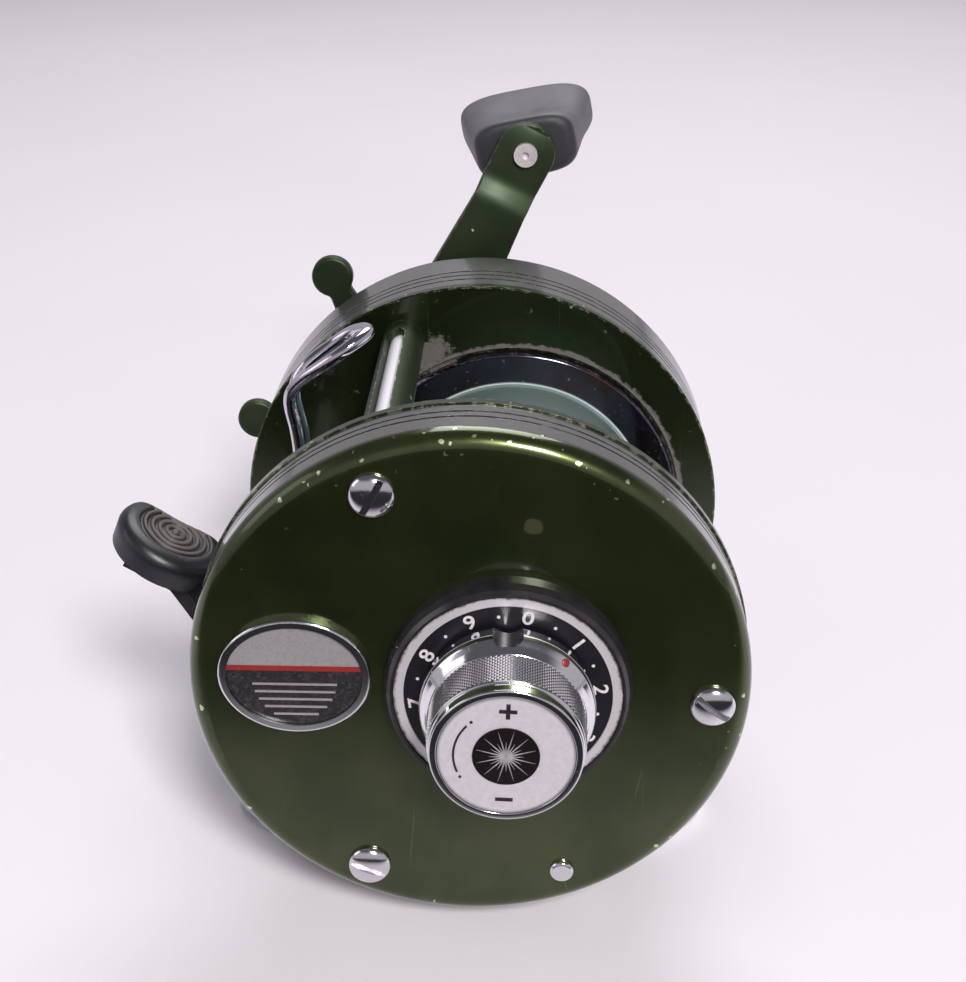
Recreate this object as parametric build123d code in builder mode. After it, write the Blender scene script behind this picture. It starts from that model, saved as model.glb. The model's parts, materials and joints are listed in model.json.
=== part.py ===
# Round level-wind baitcasting reel, millimetres.
# X forward (line-guide side), Y left (palm side), Z up; origin at the middle of the foot seat.
import math
import os
from build123d import *

os.makedirs("parts", exist_ok=True)

# --- driving sizes -------------------------------------------------------
plate_r = 27.5          # outside radius of both frame plates
axis_h = 31.0           # height of the plate centres over the foot seat
frame_half = 15.8       # half the distance between the frame plates
plate_t = 1.2           # frame plate thickness
recess_d = 0.5          # shallow pocket that hides the spool flange edge
cup_r = 27.3            # outside radius of both side covers
cup_wall = 1.5
cup_edge = 1.8          # rounded front edge of the covers
left_depth = 6.6        # left cover, axial
right_depth = 11.4      # right cover, axial
groove_w = 0.35         # turned lines on the cover sides
groove_d = 0.18
spool_dx = -3.8         # spool axis from the plate centre
spool_dz = 1.0
flange_r = 18.8
drum_r = 15.2
spool_shaft_r = 1.5
gear_module = 0.5
main_teeth = 49
pinion_teeth = 13
drive_angle = 21.2      # direction from the spool axis to the handle axis
drive_r = 2.0
star_r = 18.3           # tip centres of the star
star_tip_r = 2.5
handle_len = 34.3       # handle axis to knob pin
arm_t = 2.0
grip_roll = 11.0        # degrees each handle knob has rolled on its pin at rest
worm_x = 18.2
worm_dz = 6.0
tube_x = 8.75           # slotted top tube
tube_dz = 21.1
lever_x = 19.8          # thumb lever pivot
lever_dz = -11.6
foot_half = 27.0
foot_w = 14.0
foot_t = 1.6
# clearances
run_fit = 0.05          # radial, running parts
side_gap = 0.3          # axial, between moving faces
free_gap = 0.4          # parts that must never touch

# --- derived -------------------------------------------------------------
left_in = frame_half
left_out = frame_half + plate_t
left_face = left_out + left_depth
left_inner = left_face - cup_wall
right_in = -frame_half
right_out = -frame_half - plate_t
right_face = right_out - right_depth
right_inner = right_face + cup_wall
spool_x = spool_dx
spool_z = axis_h + spool_dz
centre_dist = gear_module * (main_teeth + pinion_teeth) / 2
drive_x = spool_x + centre_dist * math.cos(math.radians(drive_angle))
drive_z = spool_z + centre_dist * math.sin(math.radians(drive_angle))
worm_z = axis_h + worm_dz
tube_z = axis_h + tube_dz
lever_z = axis_h + lever_dz
main_r = gear_module * main_teeth / 2
pinion_r = gear_module * pinion_teeth / 2
gear_add = 0.84 * gear_module
gear_ded = 1.2 * gear_module


def across(y):
    """Sketch plane square to the spool axis; sketch x is X and sketch y is Z."""
    return Plane(origin=(0, y, 0), x_dir=(1, 0, 0), z_dir=(0, -1, 0))


def lathe(x, z):
    """Sketch plane for turned parts; sketch x is Y and sketch y is the radius."""
    return Plane(origin=(x, 0, z), x_dir=(0, 1, 0), z_dir=(1, 0, 0))


def turning_axis(x, z):
    return Axis((x, 0, z), (0, 1, 0))


def turned(points, x, z):
    """Revolve a closed outline of (y, radius) points about the axis through x, z."""
    with BuildSketch(lathe(x, z)) as outline:
        with BuildLine():
            Polyline(*points, close=True)
        make_face()
    revolve(outline.sketch, axis=turning_axis(x, z))


def bar(y0, y1, r, x, z, mode=Mode.ADD):
    """Round bar or hole along Y from y0 up to y1."""
    with BuildSketch(across(y0)) as disc:
        with Locations((x, z)):
            Circle(r)
    extrude(disc.sketch, amount=-(y1 - y0), mode=mode)


def ring(y0, y1, r_out, r_in, x, z):
    with BuildSketch(across(y0)) as washer:
        with Locations((x, z)):
            Circle(r_out)
            Circle(r_in, mode=Mode.SUBTRACT)
    extrude(washer.sketch, amount=-(y1 - y0))


def toothed(x, z, teeth, phase):
    """Gear outline in the sketch being built, with slim teeth that leave backlash."""
    pitch_r = gear_module * teeth / 2
    root_r = pitch_r - gear_ded
    tooth_h = gear_ded + gear_add + 0.1
    with Locations((x, z)):
        Circle(root_r)
        with PolarLocations(root_r - 0.1, teeth, start_angle=phase):
            Polygon((0, -0.43), (tooth_h, -0.17), (tooth_h, 0.17), (0, 0.43), align=None)


def save(part, name):
    part.label = name
    export_step(part, "parts/" + name + ".step")
    print(name, round(part.volume, 2), len(part.solids()))


# --- left and right frame plates ----------------------------------------
pillar_spots = [(-21.4, axis_h - 12.35), (-6.0, axis_h - 24.0), (6.0, axis_h - 24.0)]
spigot_r = 1.2
rod_r = 1.4
worm_journal_r = 1.4
bush_r = 2.2
shaft_hole_r = 1.5 + run_fit
left_screws = [(tube_x, tube_z), (-23.5, axis_h - 1.0), (10.2, axis_h - 21.0)]
right_screws = [(-4.0, axis_h + 22.6), (-18.8, axis_h - 13.2), (14.8, axis_h - 17.6)]
screw_r = 1.1
idler_teeth = 30
cog_teeth = 12
worm_teeth = 20


def frame_plate(y0, inner_y):
    """Round plate with pillar, worm, lever and tube holes and the spool pocket."""
    with BuildSketch(across(y0)) as blank:
        with Locations((0, axis_h)):
            Circle(plate_r)
        with Locations(*pillar_spots):
            Circle(spigot_r, mode=Mode.SUBTRACT)
        with Locations((tube_x, tube_z)):
            Circle(rod_r, mode=Mode.SUBTRACT)
        with Locations((worm_x, worm_z)):
            Circle(bush_r, mode=Mode.SUBTRACT)
        with Locations((lever_x, lever_z)):
            Circle(shaft_hole_r, mode=Mode.SUBTRACT)
        with Locations((spool_x, spool_z)):
            Circle(5.2, mode=Mode.SUBTRACT)
    extrude(blank.sketch, amount=-plate_t)
    rims = faces().filter_by(Axis.Y).edges().filter_by(GeomType.CIRCLE).sort_by(SortBy.RADIUS)[-2:]
    chamfer(rims, 0.15)
    y_pocket = min(inner_y, inner_y + math.copysign(recess_d, inner_y))
    bar(y_pocket, y_pocket + recess_d, flange_r + free_gap + 0.1, spool_x, spool_z, Mode.SUBTRACT)


with BuildPart() as left_plate:
    frame_plate(left_in, left_in)
    for spot in left_screws:
        bar(left_out - 0.6, left_out + 0.1, screw_r, spot[0], spot[1], Mode.SUBTRACT)
save(left_plate.part, "left_frame_plate")

with BuildPart() as right_plate:
    frame_plate(right_out, right_in)
    for spot in right_screws:
        bar(right_out - 0.1, right_out + 0.6, screw_r, spot[0], spot[1], Mode.SUBTRACT)
save(right_plate.part, "right_frame_plate")

# --- pillars, bottom bar, slotted tube and its rod -----------------------
rear_spot = pillar_spots[0]
with BuildPart() as rear_pillar:
    bar(left_in - 2 * frame_half, left_in, 1.9, rear_spot[0], rear_spot[1])
    bar(right_out, left_out, spigot_r, rear_spot[0], rear_spot[1])
save(rear_pillar.part, "rear_pillar")

bar_top = axis_h - 23.0
bar_bottom = bar_top - 2.0
rivet_spots = [(-4.5, -4.0), (4.5, -4.0), (-4.5, 4.0), (4.5, 4.0)]
rivet_r = 1.0
with BuildPart() as bottom_bar:
    with BuildSketch(across(right_in)):
        with Locations((0, (bar_top + bar_bottom) / 2)):
            RectangleRounded(18, 2.0, 0.5)
    extrude(amount=-2 * frame_half)
    for spot in pillar_spots[1:]:
        bar(right_out, right_in, spigot_r, spot[0], spot[1])
        bar(left_in, left_out, spigot_r, spot[0], spot[1])
    with BuildSketch(Plane.XY.offset(bar_bottom)):
        with Locations(*rivet_spots):
            Circle(rivet_r)
    extrude(amount=2.0, mode=Mode.SUBTRACT)
save(bottom_bar.part, "bottom_bar")

tube_r = 2.35
slot_w = 2.2
slot_end = frame_half - 2.3
slot_tilt = 18.0
with BuildPart() as top_tube:
    ring(right_in, left_in, tube_r, rod_r + run_fit, tube_x, tube_z)
    tilt = math.radians(slot_tilt)
    slot_plane = Plane(
        origin=(tube_x, 0, tube_z),
        x_dir=(0, 1, 0),
        z_dir=(math.sin(tilt), 0, math.cos(tilt)),
    )
    with BuildSketch(slot_plane):
        SlotOverall(2 * slot_end, slot_w)
    extrude(amount=tube_r + 1, mode=Mode.SUBTRACT)
save(top_tube.part, "top_tube")

with BuildPart() as tube_rod:
    bar(right_out, left_out - 0.7, rod_r, tube_x, tube_z)
    ends = edges().filter_by(GeomType.CIRCLE)
    chamfer(ends, 0.2)
save(tube_rod.part, "tube_rod")

# --- reel foot -----------------------------------------------------------
foot_shift = 1.0
with BuildPart() as reel_foot:
    with BuildSketch(Plane.XZ):
        with BuildLine():
            Polyline(
                (-9, bar_bottom), (9, bar_bottom), (13, foot_t + 2.0),
                (foot_half + foot_shift, foot_t), (foot_half + foot_shift, 0),
                (foot_shift - foot_half, 0), (foot_shift - foot_half, foot_t),
                (-13, foot_t + 2.0), close=True,
            )
        make_face()
    extrude(amount=foot_w / 2, both=True)
    with BuildSketch(Plane.XY.offset(-1)):
        with Locations((foot_shift, 0)):
            Ellipse(foot_half, foot_w * 0.72)
    extrude(amount=bar_top, mode=Mode.INTERSECT)
    crest = edges().filter_by(Axis.Y).group_by(Axis.Z)[-1]
    fillet(crest, 1.0)
    with BuildSketch(Plane.XY):
        with Locations(*rivet_spots):
            Circle(rivet_r)
    extrude(amount=bar_top, mode=Mode.SUBTRACT)
save(reel_foot.part, "reel_foot")

with BuildPart() as foot_rivets:
    with BuildSketch(Plane.XY.offset(0.4)):
        with Locations(*rivet_spots):
            Circle(rivet_r)
    extrude(amount=bar_top - 0.4)
    with BuildSketch(Plane.XY.offset(bar_top)):
        with Locations(*rivet_spots):
            Circle(1.7)
    extrude(amount=0.8)
    heads = edges().filter_by(GeomType.CIRCLE).group_by(Axis.Z)[-1]
    fillet(heads, 0.5)
save(foot_rivets.part, "foot_rivets")

# --- left side cover -----------------------------------------------------
left_boss_r = 6.0
boss_end = left_face + 6.9
bearing_r = 4.0
bearing_w = 2.5
screw_boss_r = 2.3
with BuildPart() as left_cover:
    bar(left_out, left_face, cup_r, 0, axis_h)
    rim = faces().sort_by(Axis.Y)[-1].edges()
    fillet(rim, cup_edge)
    bar(left_out, left_inner, cup_r - cup_wall, 0, axis_h, Mode.SUBTRACT)
    for spot in left_screws:
        bar(left_out, left_inner, screw_boss_r, spot[0], spot[1])
    bar(left_inner, boss_end, left_boss_r, spool_x, spool_z)
    bar(left_inner, left_inner + bearing_w, bearing_r, spool_x, spool_z, Mode.SUBTRACT)
    bar(left_inner, boss_end, spool_shaft_r + 0.2, spool_x, spool_z, Mode.SUBTRACT)
    for spot in left_screws:
        bar(left_out, left_face, screw_r + run_fit, spot[0], spot[1], Mode.SUBTRACT)
    bar(left_inner, left_face, 0.8, -9.4, axis_h - 21.3, Mode.SUBTRACT)
    for y in (left_face - 4.0, left_face - 5.15):
        ring_y = y - groove_w / 2
        with BuildSketch(across(ring_y)):
            with Locations((0, axis_h)):
                Circle(cup_r + 1)
                Circle(cup_r - groove_d, mode=Mode.SUBTRACT)
        extrude(amount=-groove_w, mode=Mode.SUBTRACT)
save(left_cover.part, "left_side_cover")


def cover_screw(face_y, tip_y, x, z):
    """Domed slotted screw along Y; the head stands outside face_y."""
    out = math.copysign(1.0, face_y)
    turned(
        [(face_y, 0), (face_y + out * 1.15, 0), (face_y + out * 1.1, 0.9), (face_y + out * 0.8, 1.6),
         (face_y + out * 0.25, 2.05), (face_y, 2.05)],
        x, z,
    )
    bar(min(face_y, tip_y), max(face_y, tip_y), screw_r, x, z)
    slot_y = face_y + out * 1.2
    with Locations(Location((x, slot_y, z), (0, 40, 0))):
        Box(6, 1.1, 0.55, mode=Mode.SUBTRACT)


with BuildPart() as cover_screws:
    for spot in left_screws:
        cover_screw(left_face, left_out - 0.6, spot[0], spot[1])
    for spot in right_screws:
        cover_screw(right_face, right_out + 0.6, spot[0], spot[1])
save(cover_screws.part, "cover_screws")

with BuildPart() as oil_plug:
    bar(left_inner + 0.2, left_face, 0.8, -9.4, axis_h - 21.3)
    bar(left_face, left_face + 0.55, 1.25, -9.4, axis_h - 21.3)
    crown = faces().sort_by(Axis.Y)[-1].edges()
    fillet(crown, 0.4)
save(oil_plug.part, "oil_plug")

# --- badge ---------------------------------------------------------------
badge_x = 16.7
badge_z = axis_h + 1.9
badge_a = 7.4
badge_b = 6.3
with BuildPart() as badge_frame:
    with BuildSketch(across(left_face)):
        with Locations((badge_x, badge_z)):
            Ellipse(badge_a, badge_b)
    extrude(amount=-0.9)
    rim = faces().sort_by(Axis.Y)[-1].edges()
    fillet(rim, 0.3)
    with BuildSketch(across(left_face + 0.4)):
        with Locations((badge_x, badge_z)):
            Ellipse(badge_a - 0.8, badge_b - 0.8)
    extrude(amount=-0.6, mode=Mode.SUBTRACT)
save(badge_frame.part, "badge")

# --- dial and cast-control knob -----------------------------------------
bezel_r = 11.95
dial_r = 9.95
dial_h = 2.2            # how far the dial stands out of the cover
with BuildPart() as dial_bezel:
    turned(
        [(left_face, 10.95), (left_face, bezel_r), (left_face + 1.2, bezel_r - 0.1),
         (left_face + 2.0, bezel_r - 0.4), (left_face + dial_h + 0.2, 11.2), (left_face + dial_h + 0.2, 10.95)],
        spool_x, spool_z,
    )
save(dial_bezel.part, "dial_bezel")

with BuildPart() as dial_plate:
    ring(left_face, left_face + dial_h - 0.15, 10.9, left_boss_r + 0.3, spool_x, spool_z)
    ring(left_face + dial_h - 0.15, left_face + dial_h, 10.9, dial_r, spool_x, spool_z)
save(dial_plate.part, "dial_plate")

knob_back = left_face + dial_h + 0.5
knob_front = left_face + 11.8
shim_y = boss_end + 0.65
with BuildPart() as cast_knob:
    turned(
        [(knob_back, left_boss_r + 0.1), (knob_back, 8.1), (left_face + 4.6, 8.35), (left_face + 5.0, 8.3),
         (left_face + 5.9, 7.45), (left_face + 6.2, 7.3), (left_face + 10.4, 7.3), (left_face + 10.7, 7.0),
         (knob_front, 7.0), (knob_front, 6.3), (knob_front - 0.6, 6.3), (knob_front - 0.6, 0),
         (shim_y + 0.5, 0), (shim_y + 0.5, 2.6), (shim_y, 2.6), (shim_y, left_boss_r + 0.1)],
        spool_x, spool_z,
    )
    bar(knob_back, left_face + 5.6, 1.7, spool_x, spool_z + 9.1, Mode.SUBTRACT)
save(cast_knob.part, "cast_control_knob")

with BuildPart() as knob_cap:
    bar(knob_front - 0.6, knob_front - 0.1, 6.25, spool_x, spool_z)
    bar(knob_front - 0.1, knob_front, 3.05, spool_x, spool_z)
save(knob_cap.part, "knob_cap")

with BuildPart() as tension_shim:
    bar(shim_y, shim_y + 0.45, 2.5, spool_x, spool_z)
save(tension_shim.part, "tension_shim")

# --- spool, its shaft and bearings --------------------------------------
flange_in = frame_half - 0.9
flange_out = flange_in + 1.0
hub_r = 3.4
drum_wall = 1.0
with BuildPart() as spool:
    turned(
        [(-flange_out, drum_r - drum_wall), (-flange_out, flange_r), (-flange_in, flange_r),
         (-flange_in, drum_r), (flange_in, drum_r), (flange_in, flange_r), (flange_out, flange_r),
         (flange_out, drum_r - drum_wall), (12.5, drum_r - drum_wall), (11.5, hub_r), (13.5, hub_r),
         (13.5, spool_shaft_r), (-13.5, spool_shaft_r), (-13.5, hub_r), (-11.5, hub_r),
         (-12.5, drum_r - drum_wall)],
        spool_x, spool_z,
    )
    cavity_r = drum_r - drum_wall
    with BuildSketch(lathe(spool_x, spool_z)):
        with BuildLine():
            Polyline((-10.0, hub_r), (-11.0, cavity_r), (11.0, cavity_r), (10.0, hub_r), close=True)
        make_face()
    revolve(axis=turning_axis(spool_x, spool_z), mode=Mode.SUBTRACT)
    edge_rims = edges().filter_by(GeomType.CIRCLE).filter_by(
        lambda e: abs(e.radius - flange_r) < 0.01
    )
    fillet(edge_rims, 0.3)
    with BuildSketch(across(-16)):
        with Locations((spool_x, spool_z)):
            with PolarLocations(9.0, 6):
                Circle(2.0)
    extrude(amount=-32, mode=Mode.SUBTRACT)
save(spool.part, "spool")

pin_y = right_out - 0.6
pin_r = 0.5
shaft_end = shim_y - 0.05
right_bearing_y = right_inner - 1.2
with BuildPart() as spool_shaft:
    bar(right_bearing_y + 0.2, shaft_end, spool_shaft_r, spool_x, spool_z)
    tip = faces().sort_by(Axis.Y)[-1].edges()
    fillet(tip, 0.4)
    with BuildSketch(Plane.XY.offset(spool_z - 4)):
        with Locations((spool_x, pin_y)):
            Circle(pin_r)
    extrude(amount=8, mode=Mode.SUBTRACT)
save(spool_shaft.part, "spool_shaft")

with BuildPart() as drive_pin:
    with BuildSketch(Plane.XY.offset(spool_z - 3.2)):
        with Locations((spool_x, pin_y)):
            Circle(pin_r)
    extrude(amount=6.4)
save(drive_pin.part, "clutch_pin")


def ball_bearing(y0, x, z):
    """Small shielded-size ball bearing as two rings and the balls between them."""
    mid_y = y0 + bearing_w / 2
    ring(y0, y0 + bearing_w, bearing_r, bearing_r - 0.8, x, z)
    ring(y0, y0 + bearing_w, spool_shaft_r + 0.75, spool_shaft_r, x, z)
    with BuildSketch(lathe(x, z)) as race:
        with Locations((mid_y, 2.725)):
            Circle(0.62)
    revolve(race.sketch, axis=turning_axis(x, z), mode=Mode.SUBTRACT)
    with Locations((x, mid_y, z)):
        with Locations(Rotation(90, 0, 0)):
            with PolarLocations(2.725, 8):
                Sphere(0.6)


right_pocket = right_inner + 1.3 - bearing_w
with BuildPart() as spool_bearings:
    ball_bearing(left_inner, spool_x, spool_z)
    ball_bearing(right_pocket, spool_x, spool_z)
save(spool_bearings.part, "spool_bearings")

# --- left side: level-wind gears and centrifugal brake ------------------
cog_y0 = left_out + 0.6
cog_y1 = cog_y0 + 1.8
spool_to_idler = gear_module * (cog_teeth + idler_teeth) / 2
idler_to_worm = gear_module * (idler_teeth + worm_teeth) / 2
span_x = worm_x - spool_x
span_z = worm_z - spool_z
span = math.hypot(span_x, span_z)
along = (spool_to_idler ** 2 - idler_to_worm ** 2 + span ** 2) / (2 * span)
off = -math.sqrt(max(spool_to_idler ** 2 - along ** 2, 0.01))
idler_x = spool_x + (along * span_x - off * span_z) / span
idler_z = spool_z + (along * span_z + off * span_x) / span
cog_phase = math.degrees(math.atan2(idler_z - spool_z, idler_x - spool_x))
idler_phase = cog_phase + 180 + 180 / idler_teeth
to_worm = math.degrees(math.atan2(worm_z - idler_z, worm_x - idler_x))
arc = ((idler_phase - to_worm) % (360 / idler_teeth)) * idler_teeth / worm_teeth
worm_phase = to_worm + 180 - arc + 180 / worm_teeth

with BuildPart() as spool_cog:
    with BuildSketch(across(cog_y0)):
        toothed(spool_x, spool_z, cog_teeth, cog_phase)
        with Locations((spool_x, spool_z)):
            Circle(spool_shaft_r, mode=Mode.SUBTRACT)
    extrude(amount=-(cog_y1 - cog_y0))
save(spool_cog.part, "spool_cog")

stud_r = 1.2
with BuildPart() as idler_gear:
    with BuildSketch(across(cog_y0)):
        toothed(idler_x, idler_z, idler_teeth, idler_phase)
        with Locations((idler_x, idler_z)):
            Circle(stud_r + run_fit, mode=Mode.SUBTRACT)
            with PolarLocations(4.4, 5):
                Circle(1.1, mode=Mode.SUBTRACT)
    extrude(amount=-(cog_y1 - cog_y0))
save(idler_gear.part, "idler_gear")

with BuildPart() as worm_cog:
    with BuildSketch(across(cog_y0)):
        toothed(worm_x, worm_z, worm_teeth, worm_phase)
        with Locations((worm_x, worm_z)):
            Circle(worm_journal_r, mode=Mode.SUBTRACT)
    extrude(amount=-(cog_y1 - cog_y0))
save(worm_cog.part, "worm_cog")

with BuildPart() as brake_carrier:
    carrier_y0 = cog_y1 + 0.3
    ring(carrier_y0, carrier_y0 + 1.6, 2.6, spool_shaft_r, spool_x, spool_z)
    carrier_mid = carrier_y0 + 0.8
    with Locations((spool_x, carrier_mid, spool_z)):
        Cylinder(0.45, 10.0)
    bar(carrier_y0 - 1, carrier_y0 + 2.6, spool_shaft_r, spool_x, spool_z, Mode.SUBTRACT)
save(brake_carrier.part, "brake_carrier")

with BuildPart() as brake_blocks:
    with Locations((spool_x, carrier_mid, spool_z + 3.9), (spool_x, carrier_mid, spool_z - 3.9)):
        Cylinder(0.75, 1.8)
    with Locations((spool_x, carrier_mid, spool_z)):
        Cylinder(0.45 + run_fit, 12.0, mode=Mode.SUBTRACT)
save(brake_blocks.part, "brake_blocks")

with BuildPart() as brake_ring:
    ring(cog_y1 + 0.4, left_inner, 6.4, 5.4, spool_x, spool_z)
save(brake_ring.part, "brake_ring")

# --- level-wind ----------------------------------------------------------
worm_tube_r = 3.0
worm_tube_in = 2.45
with BuildPart() as worm_tube:
    ring(right_in, left_in, worm_tube_r, worm_tube_in, worm_x, worm_z)
    with BuildSketch(Plane.XY.offset(worm_z)):
        with Locations((worm_x, 0)):
            Rectangle(2.4, 2 * (frame_half - 1.6))
    extrude(amount=-5, mode=Mode.SUBTRACT)
save(worm_tube.part, "worm_tube")

worm_core_r = 2.1
with BuildPart() as worm_shaft:
    bar(right_out + 0.1, cog_y1 + 0.5, worm_journal_r, worm_x, worm_z)
    bar(-14.6, 14.6, worm_core_r, worm_x, worm_z)
save(worm_shaft.part, "worm_shaft")

with BuildPart() as worm_bushes:
    ring(left_in, left_out, bush_r, worm_journal_r + run_fit, worm_x, worm_z)
    ring(right_out, right_in, bush_r, worm_journal_r + run_fit, worm_x, worm_z)
save(worm_bushes.part, "worm_bushes")

carriage_w = 6.0
with BuildPart() as carriage:
    bar(-carriage_w / 2, carriage_w / 2, 4.0, worm_x, worm_z)
    with Locations((worm_x, 0, worm_z - 4.2)):
        Cylinder(2.4, 3.4)
    with Locations((worm_x + 0.1, 0, worm_z + 4.0)):
        Box(3.2, carriage_w - 0.6, 2.8)
    bar(-carriage_w, carriage_w, worm_tube_r + run_fit, worm_x, worm_z, Mode.SUBTRACT)
    with Locations((worm_x, 0, worm_z - 5)):
        Cylinder(1.15, 8, mode=Mode.SUBTRACT)
    with Locations((worm_x, 0, worm_z - 5.4)):
        Cylinder(1.7, 1.4, mode=Mode.SUBTRACT)
    for y in (-1.7, 1.7):
        with Locations((worm_x + 0.1, y, worm_z + 4.6)):
            Cylinder(0.7, 2.0, mode=Mode.SUBTRACT)
save(carriage.part, "guide_carriage")

with BuildPart() as pawl:
    with Locations((worm_x, 0, worm_z - 3.6)):
        Cylinder(1.1, 2.4)
    with Locations((worm_x, 0, worm_z - 2.3)):
        Cylinder(0.5, 0.2)
save(pawl.part, "guide_pawl")

with BuildPart() as pawl_cap:
    with Locations((worm_x, 0, worm_z - 5.45)):
        Cylinder(1.65, 1.1)
    with Locations((worm_x, 0, worm_z - 6.5)):
        Cylinder(2.1, 1.0)
save(pawl_cap.part, "pawl_cap")

wire_r = 0.7
wire_base = worm_z + 3.65
bend = (19.2, 1.5, axis_h + 21.2)
tip_pt = (11.1, 0.0, axis_h + 28.0)
with BuildPart() as line_guide:
    with BuildLine() as wire_path:
        Spline(
            (worm_x + 0.1, 1.7, wire_base), (18.45, 1.7, axis_h + 14.0), (18.9, 1.6, axis_h + 18.6), bend,
            (17.6, 2.1, axis_h + 23.6), (14.9, 2.75, axis_h + 25.7), (12.2, 1.9, axis_h + 27.5), tip_pt,
            (12.2, -1.9, axis_h + 27.5), (14.9, -2.75, axis_h + 25.7), (17.6, -2.1, axis_h + 23.6),
            (bend[0], -bend[1], bend[2]), (18.9, -1.6, axis_h + 18.6), (18.45, -1.7, axis_h + 14.0),
            (worm_x + 0.1, -1.7, wire_base),
            tangents=((0.02, 0, 1), (-0.02, 0, -1)),
        )
    start = Plane(origin=(worm_x + 0.1, 1.7, wire_base), x_dir=(1, 0, 0), z_dir=(0.02, 0, 1))
    with BuildSketch(start):
        Circle(wire_r - 0.02)
    sweep(path=wire_path.line)
save(line_guide.part, "line_guide")

# --- thumb lever ---------------------------------------------------------
pad_tilt = 31.0
pad_r = 5.7
pad_t = 4.0
pad_flat = 3.4
pad_x = 30.4
pad_y = 9.4
pad_z = axis_h + 9.7
tilt = math.radians(pad_tilt)
pad_up = (-math.sin(tilt), 0, math.cos(tilt))
pad_in = (-math.cos(tilt), 0, -math.sin(tilt))
pad_face = Plane(origin=(pad_x, pad_y, pad_z), x_dir=pad_in, z_dir=pad_up)
back_x = pad_x - pad_up[0] * pad_t
back_z = pad_z - pad_up[2] * pad_t
with BuildPart() as thumb_pad:
    with BuildSketch(pad_face):
        Circle(pad_r)
        with Locations((0, pad_flat + 5)):
            Rectangle(20, 10, mode=Mode.SUBTRACT)
    extrude(amount=-pad_t)
    outline = edges().filter_by(GeomType.CIRCLE)
    fillet(outline, 1.1)
    with BuildSketch(pad_face):
        Circle(3.9)
        Circle(3.55, mode=Mode.SUBTRACT)
    extrude(amount=-0.3, mode=Mode.SUBTRACT)
    for ring_r in (3.1, 2.3, 1.5, 0.75):
        with BuildSketch(pad_face):
            Circle(ring_r)
            Circle(ring_r - 0.35, mode=Mode.SUBTRACT)
        extrude(amount=-0.3, mode=Mode.SUBTRACT)
save(thumb_pad.part, "thumb_pad")

lever_w = 4.4
strip = 0.7
under_x = back_x + 3.2 * pad_in[0]
under_z = back_z + 3.2 * pad_in[2]
far_x = back_x - 3.0 * pad_in[0]
far_z = back_z - 3.0 * pad_in[2]
with BuildPart() as lever_arm:
    bar(pad_y - lever_w / 2, pad_y + lever_w / 2, 3.0, lever_x, lever_z)
    nx = -pad_up[0] * 1.3
    nz = -pad_up[2] * 1.3
    with BuildSketch(across(pad_y - lever_w / 2)):
        with BuildLine():
            Polyline(
                (lever_x + 1.6, lever_z + 1.6), (lever_x + 5.0, lever_z + 8.6),
                (under_x - 0.9, under_z - 1.8), (under_x, under_z), (far_x, far_z),
                (far_x + nx, far_z + nz), (under_x + nx + 0.7, under_z + nz + 0.4),
                (lever_x + 7.0, lever_z + 8.2), (lever_x + 2.6, lever_z - 0.4), close=True,
            )
        make_face()
    extrude(amount=-lever_w)
    bar(pad_y - 3, pad_y + 3, 1.5, lever_x, lever_z, Mode.SUBTRACT)
save(lever_arm.part, "lever_arm")

crank_y0 = right_out - 2.7
with BuildPart() as lever_shaft:
    bar(crank_y0 - 0.3, left_out + 0.2, 1.5, lever_x, lever_z)
save(lever_shaft.part, "lever_shaft")

crank_len = 4.5
post_x = spool_x - 1.5
post_spots = [(post_x, spool_z + 9.5), (post_x, spool_z - 9.5)]
with BuildPart() as release_crank:
    with BuildSketch(across(crank_y0)):
        with Locations((lever_x, lever_z)):
            Circle(2.6)
        with Locations((lever_x, lever_z + crank_len / 2)):
            Rectangle(3.0, crank_len)
        with Locations((lever_x, lever_z + crank_len)):
            Circle(1.5)
        with Locations((lever_x, lever_z)):
            Circle(1.5, mode=Mode.SUBTRACT)
    extrude(amount=-0.8)
    bar(crank_y0, right_out - 1.1, 0.7, lever_x, lever_z + crank_len)
save(release_crank.part, "release_crank")

with BuildPart() as release_link:
    with BuildSketch(across(right_out - 1.8)):
        with BuildLine():
            Polyline(
                (lever_x + 2.2, lever_z + crank_len + 2.4), (lever_x - 3.0, lever_z + crank_len + 2.4),
                (-2.0, spool_z - 7.6), (-9.6, spool_z - 7.6), (-9.6, spool_z - 11.4), (-2.0, spool_z - 11.4),
                (lever_x - 3.0, lever_z + crank_len - 2.2), (lever_x + 2.2, lever_z + crank_len - 2.2),
                close=True,
            )
        make_face()
        with Locations((lever_x, lever_z + crank_len)):
            Rectangle(1.5, 3.0, mode=Mode.SUBTRACT)
        with Locations((post_spots[1][0] - 0.65, post_spots[1][1])):
            SlotOverall(3.9, 2.2, mode=Mode.SUBTRACT)
    extrude(amount=-0.6)
save(release_link.part, "release_link")

with BuildPart() as lever_spring:
    with BuildLine() as coil_line:
        Helix(pitch=0.62, height=3.1, radius=2.15)
    with BuildSketch(Plane(origin=(2.15, 0, 0), x_dir=(1, 0, 0), z_dir=(0, 1, 0.05))):
        Circle(0.25)
    sweep(path=coil_line.line)
coil = lever_spring.part.rotate(Axis.X, -90)
coil = coil.translate((lever_x, pad_y - lever_w / 2 - 4.2, lever_z))
save(coil, "lever_spring")

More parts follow.
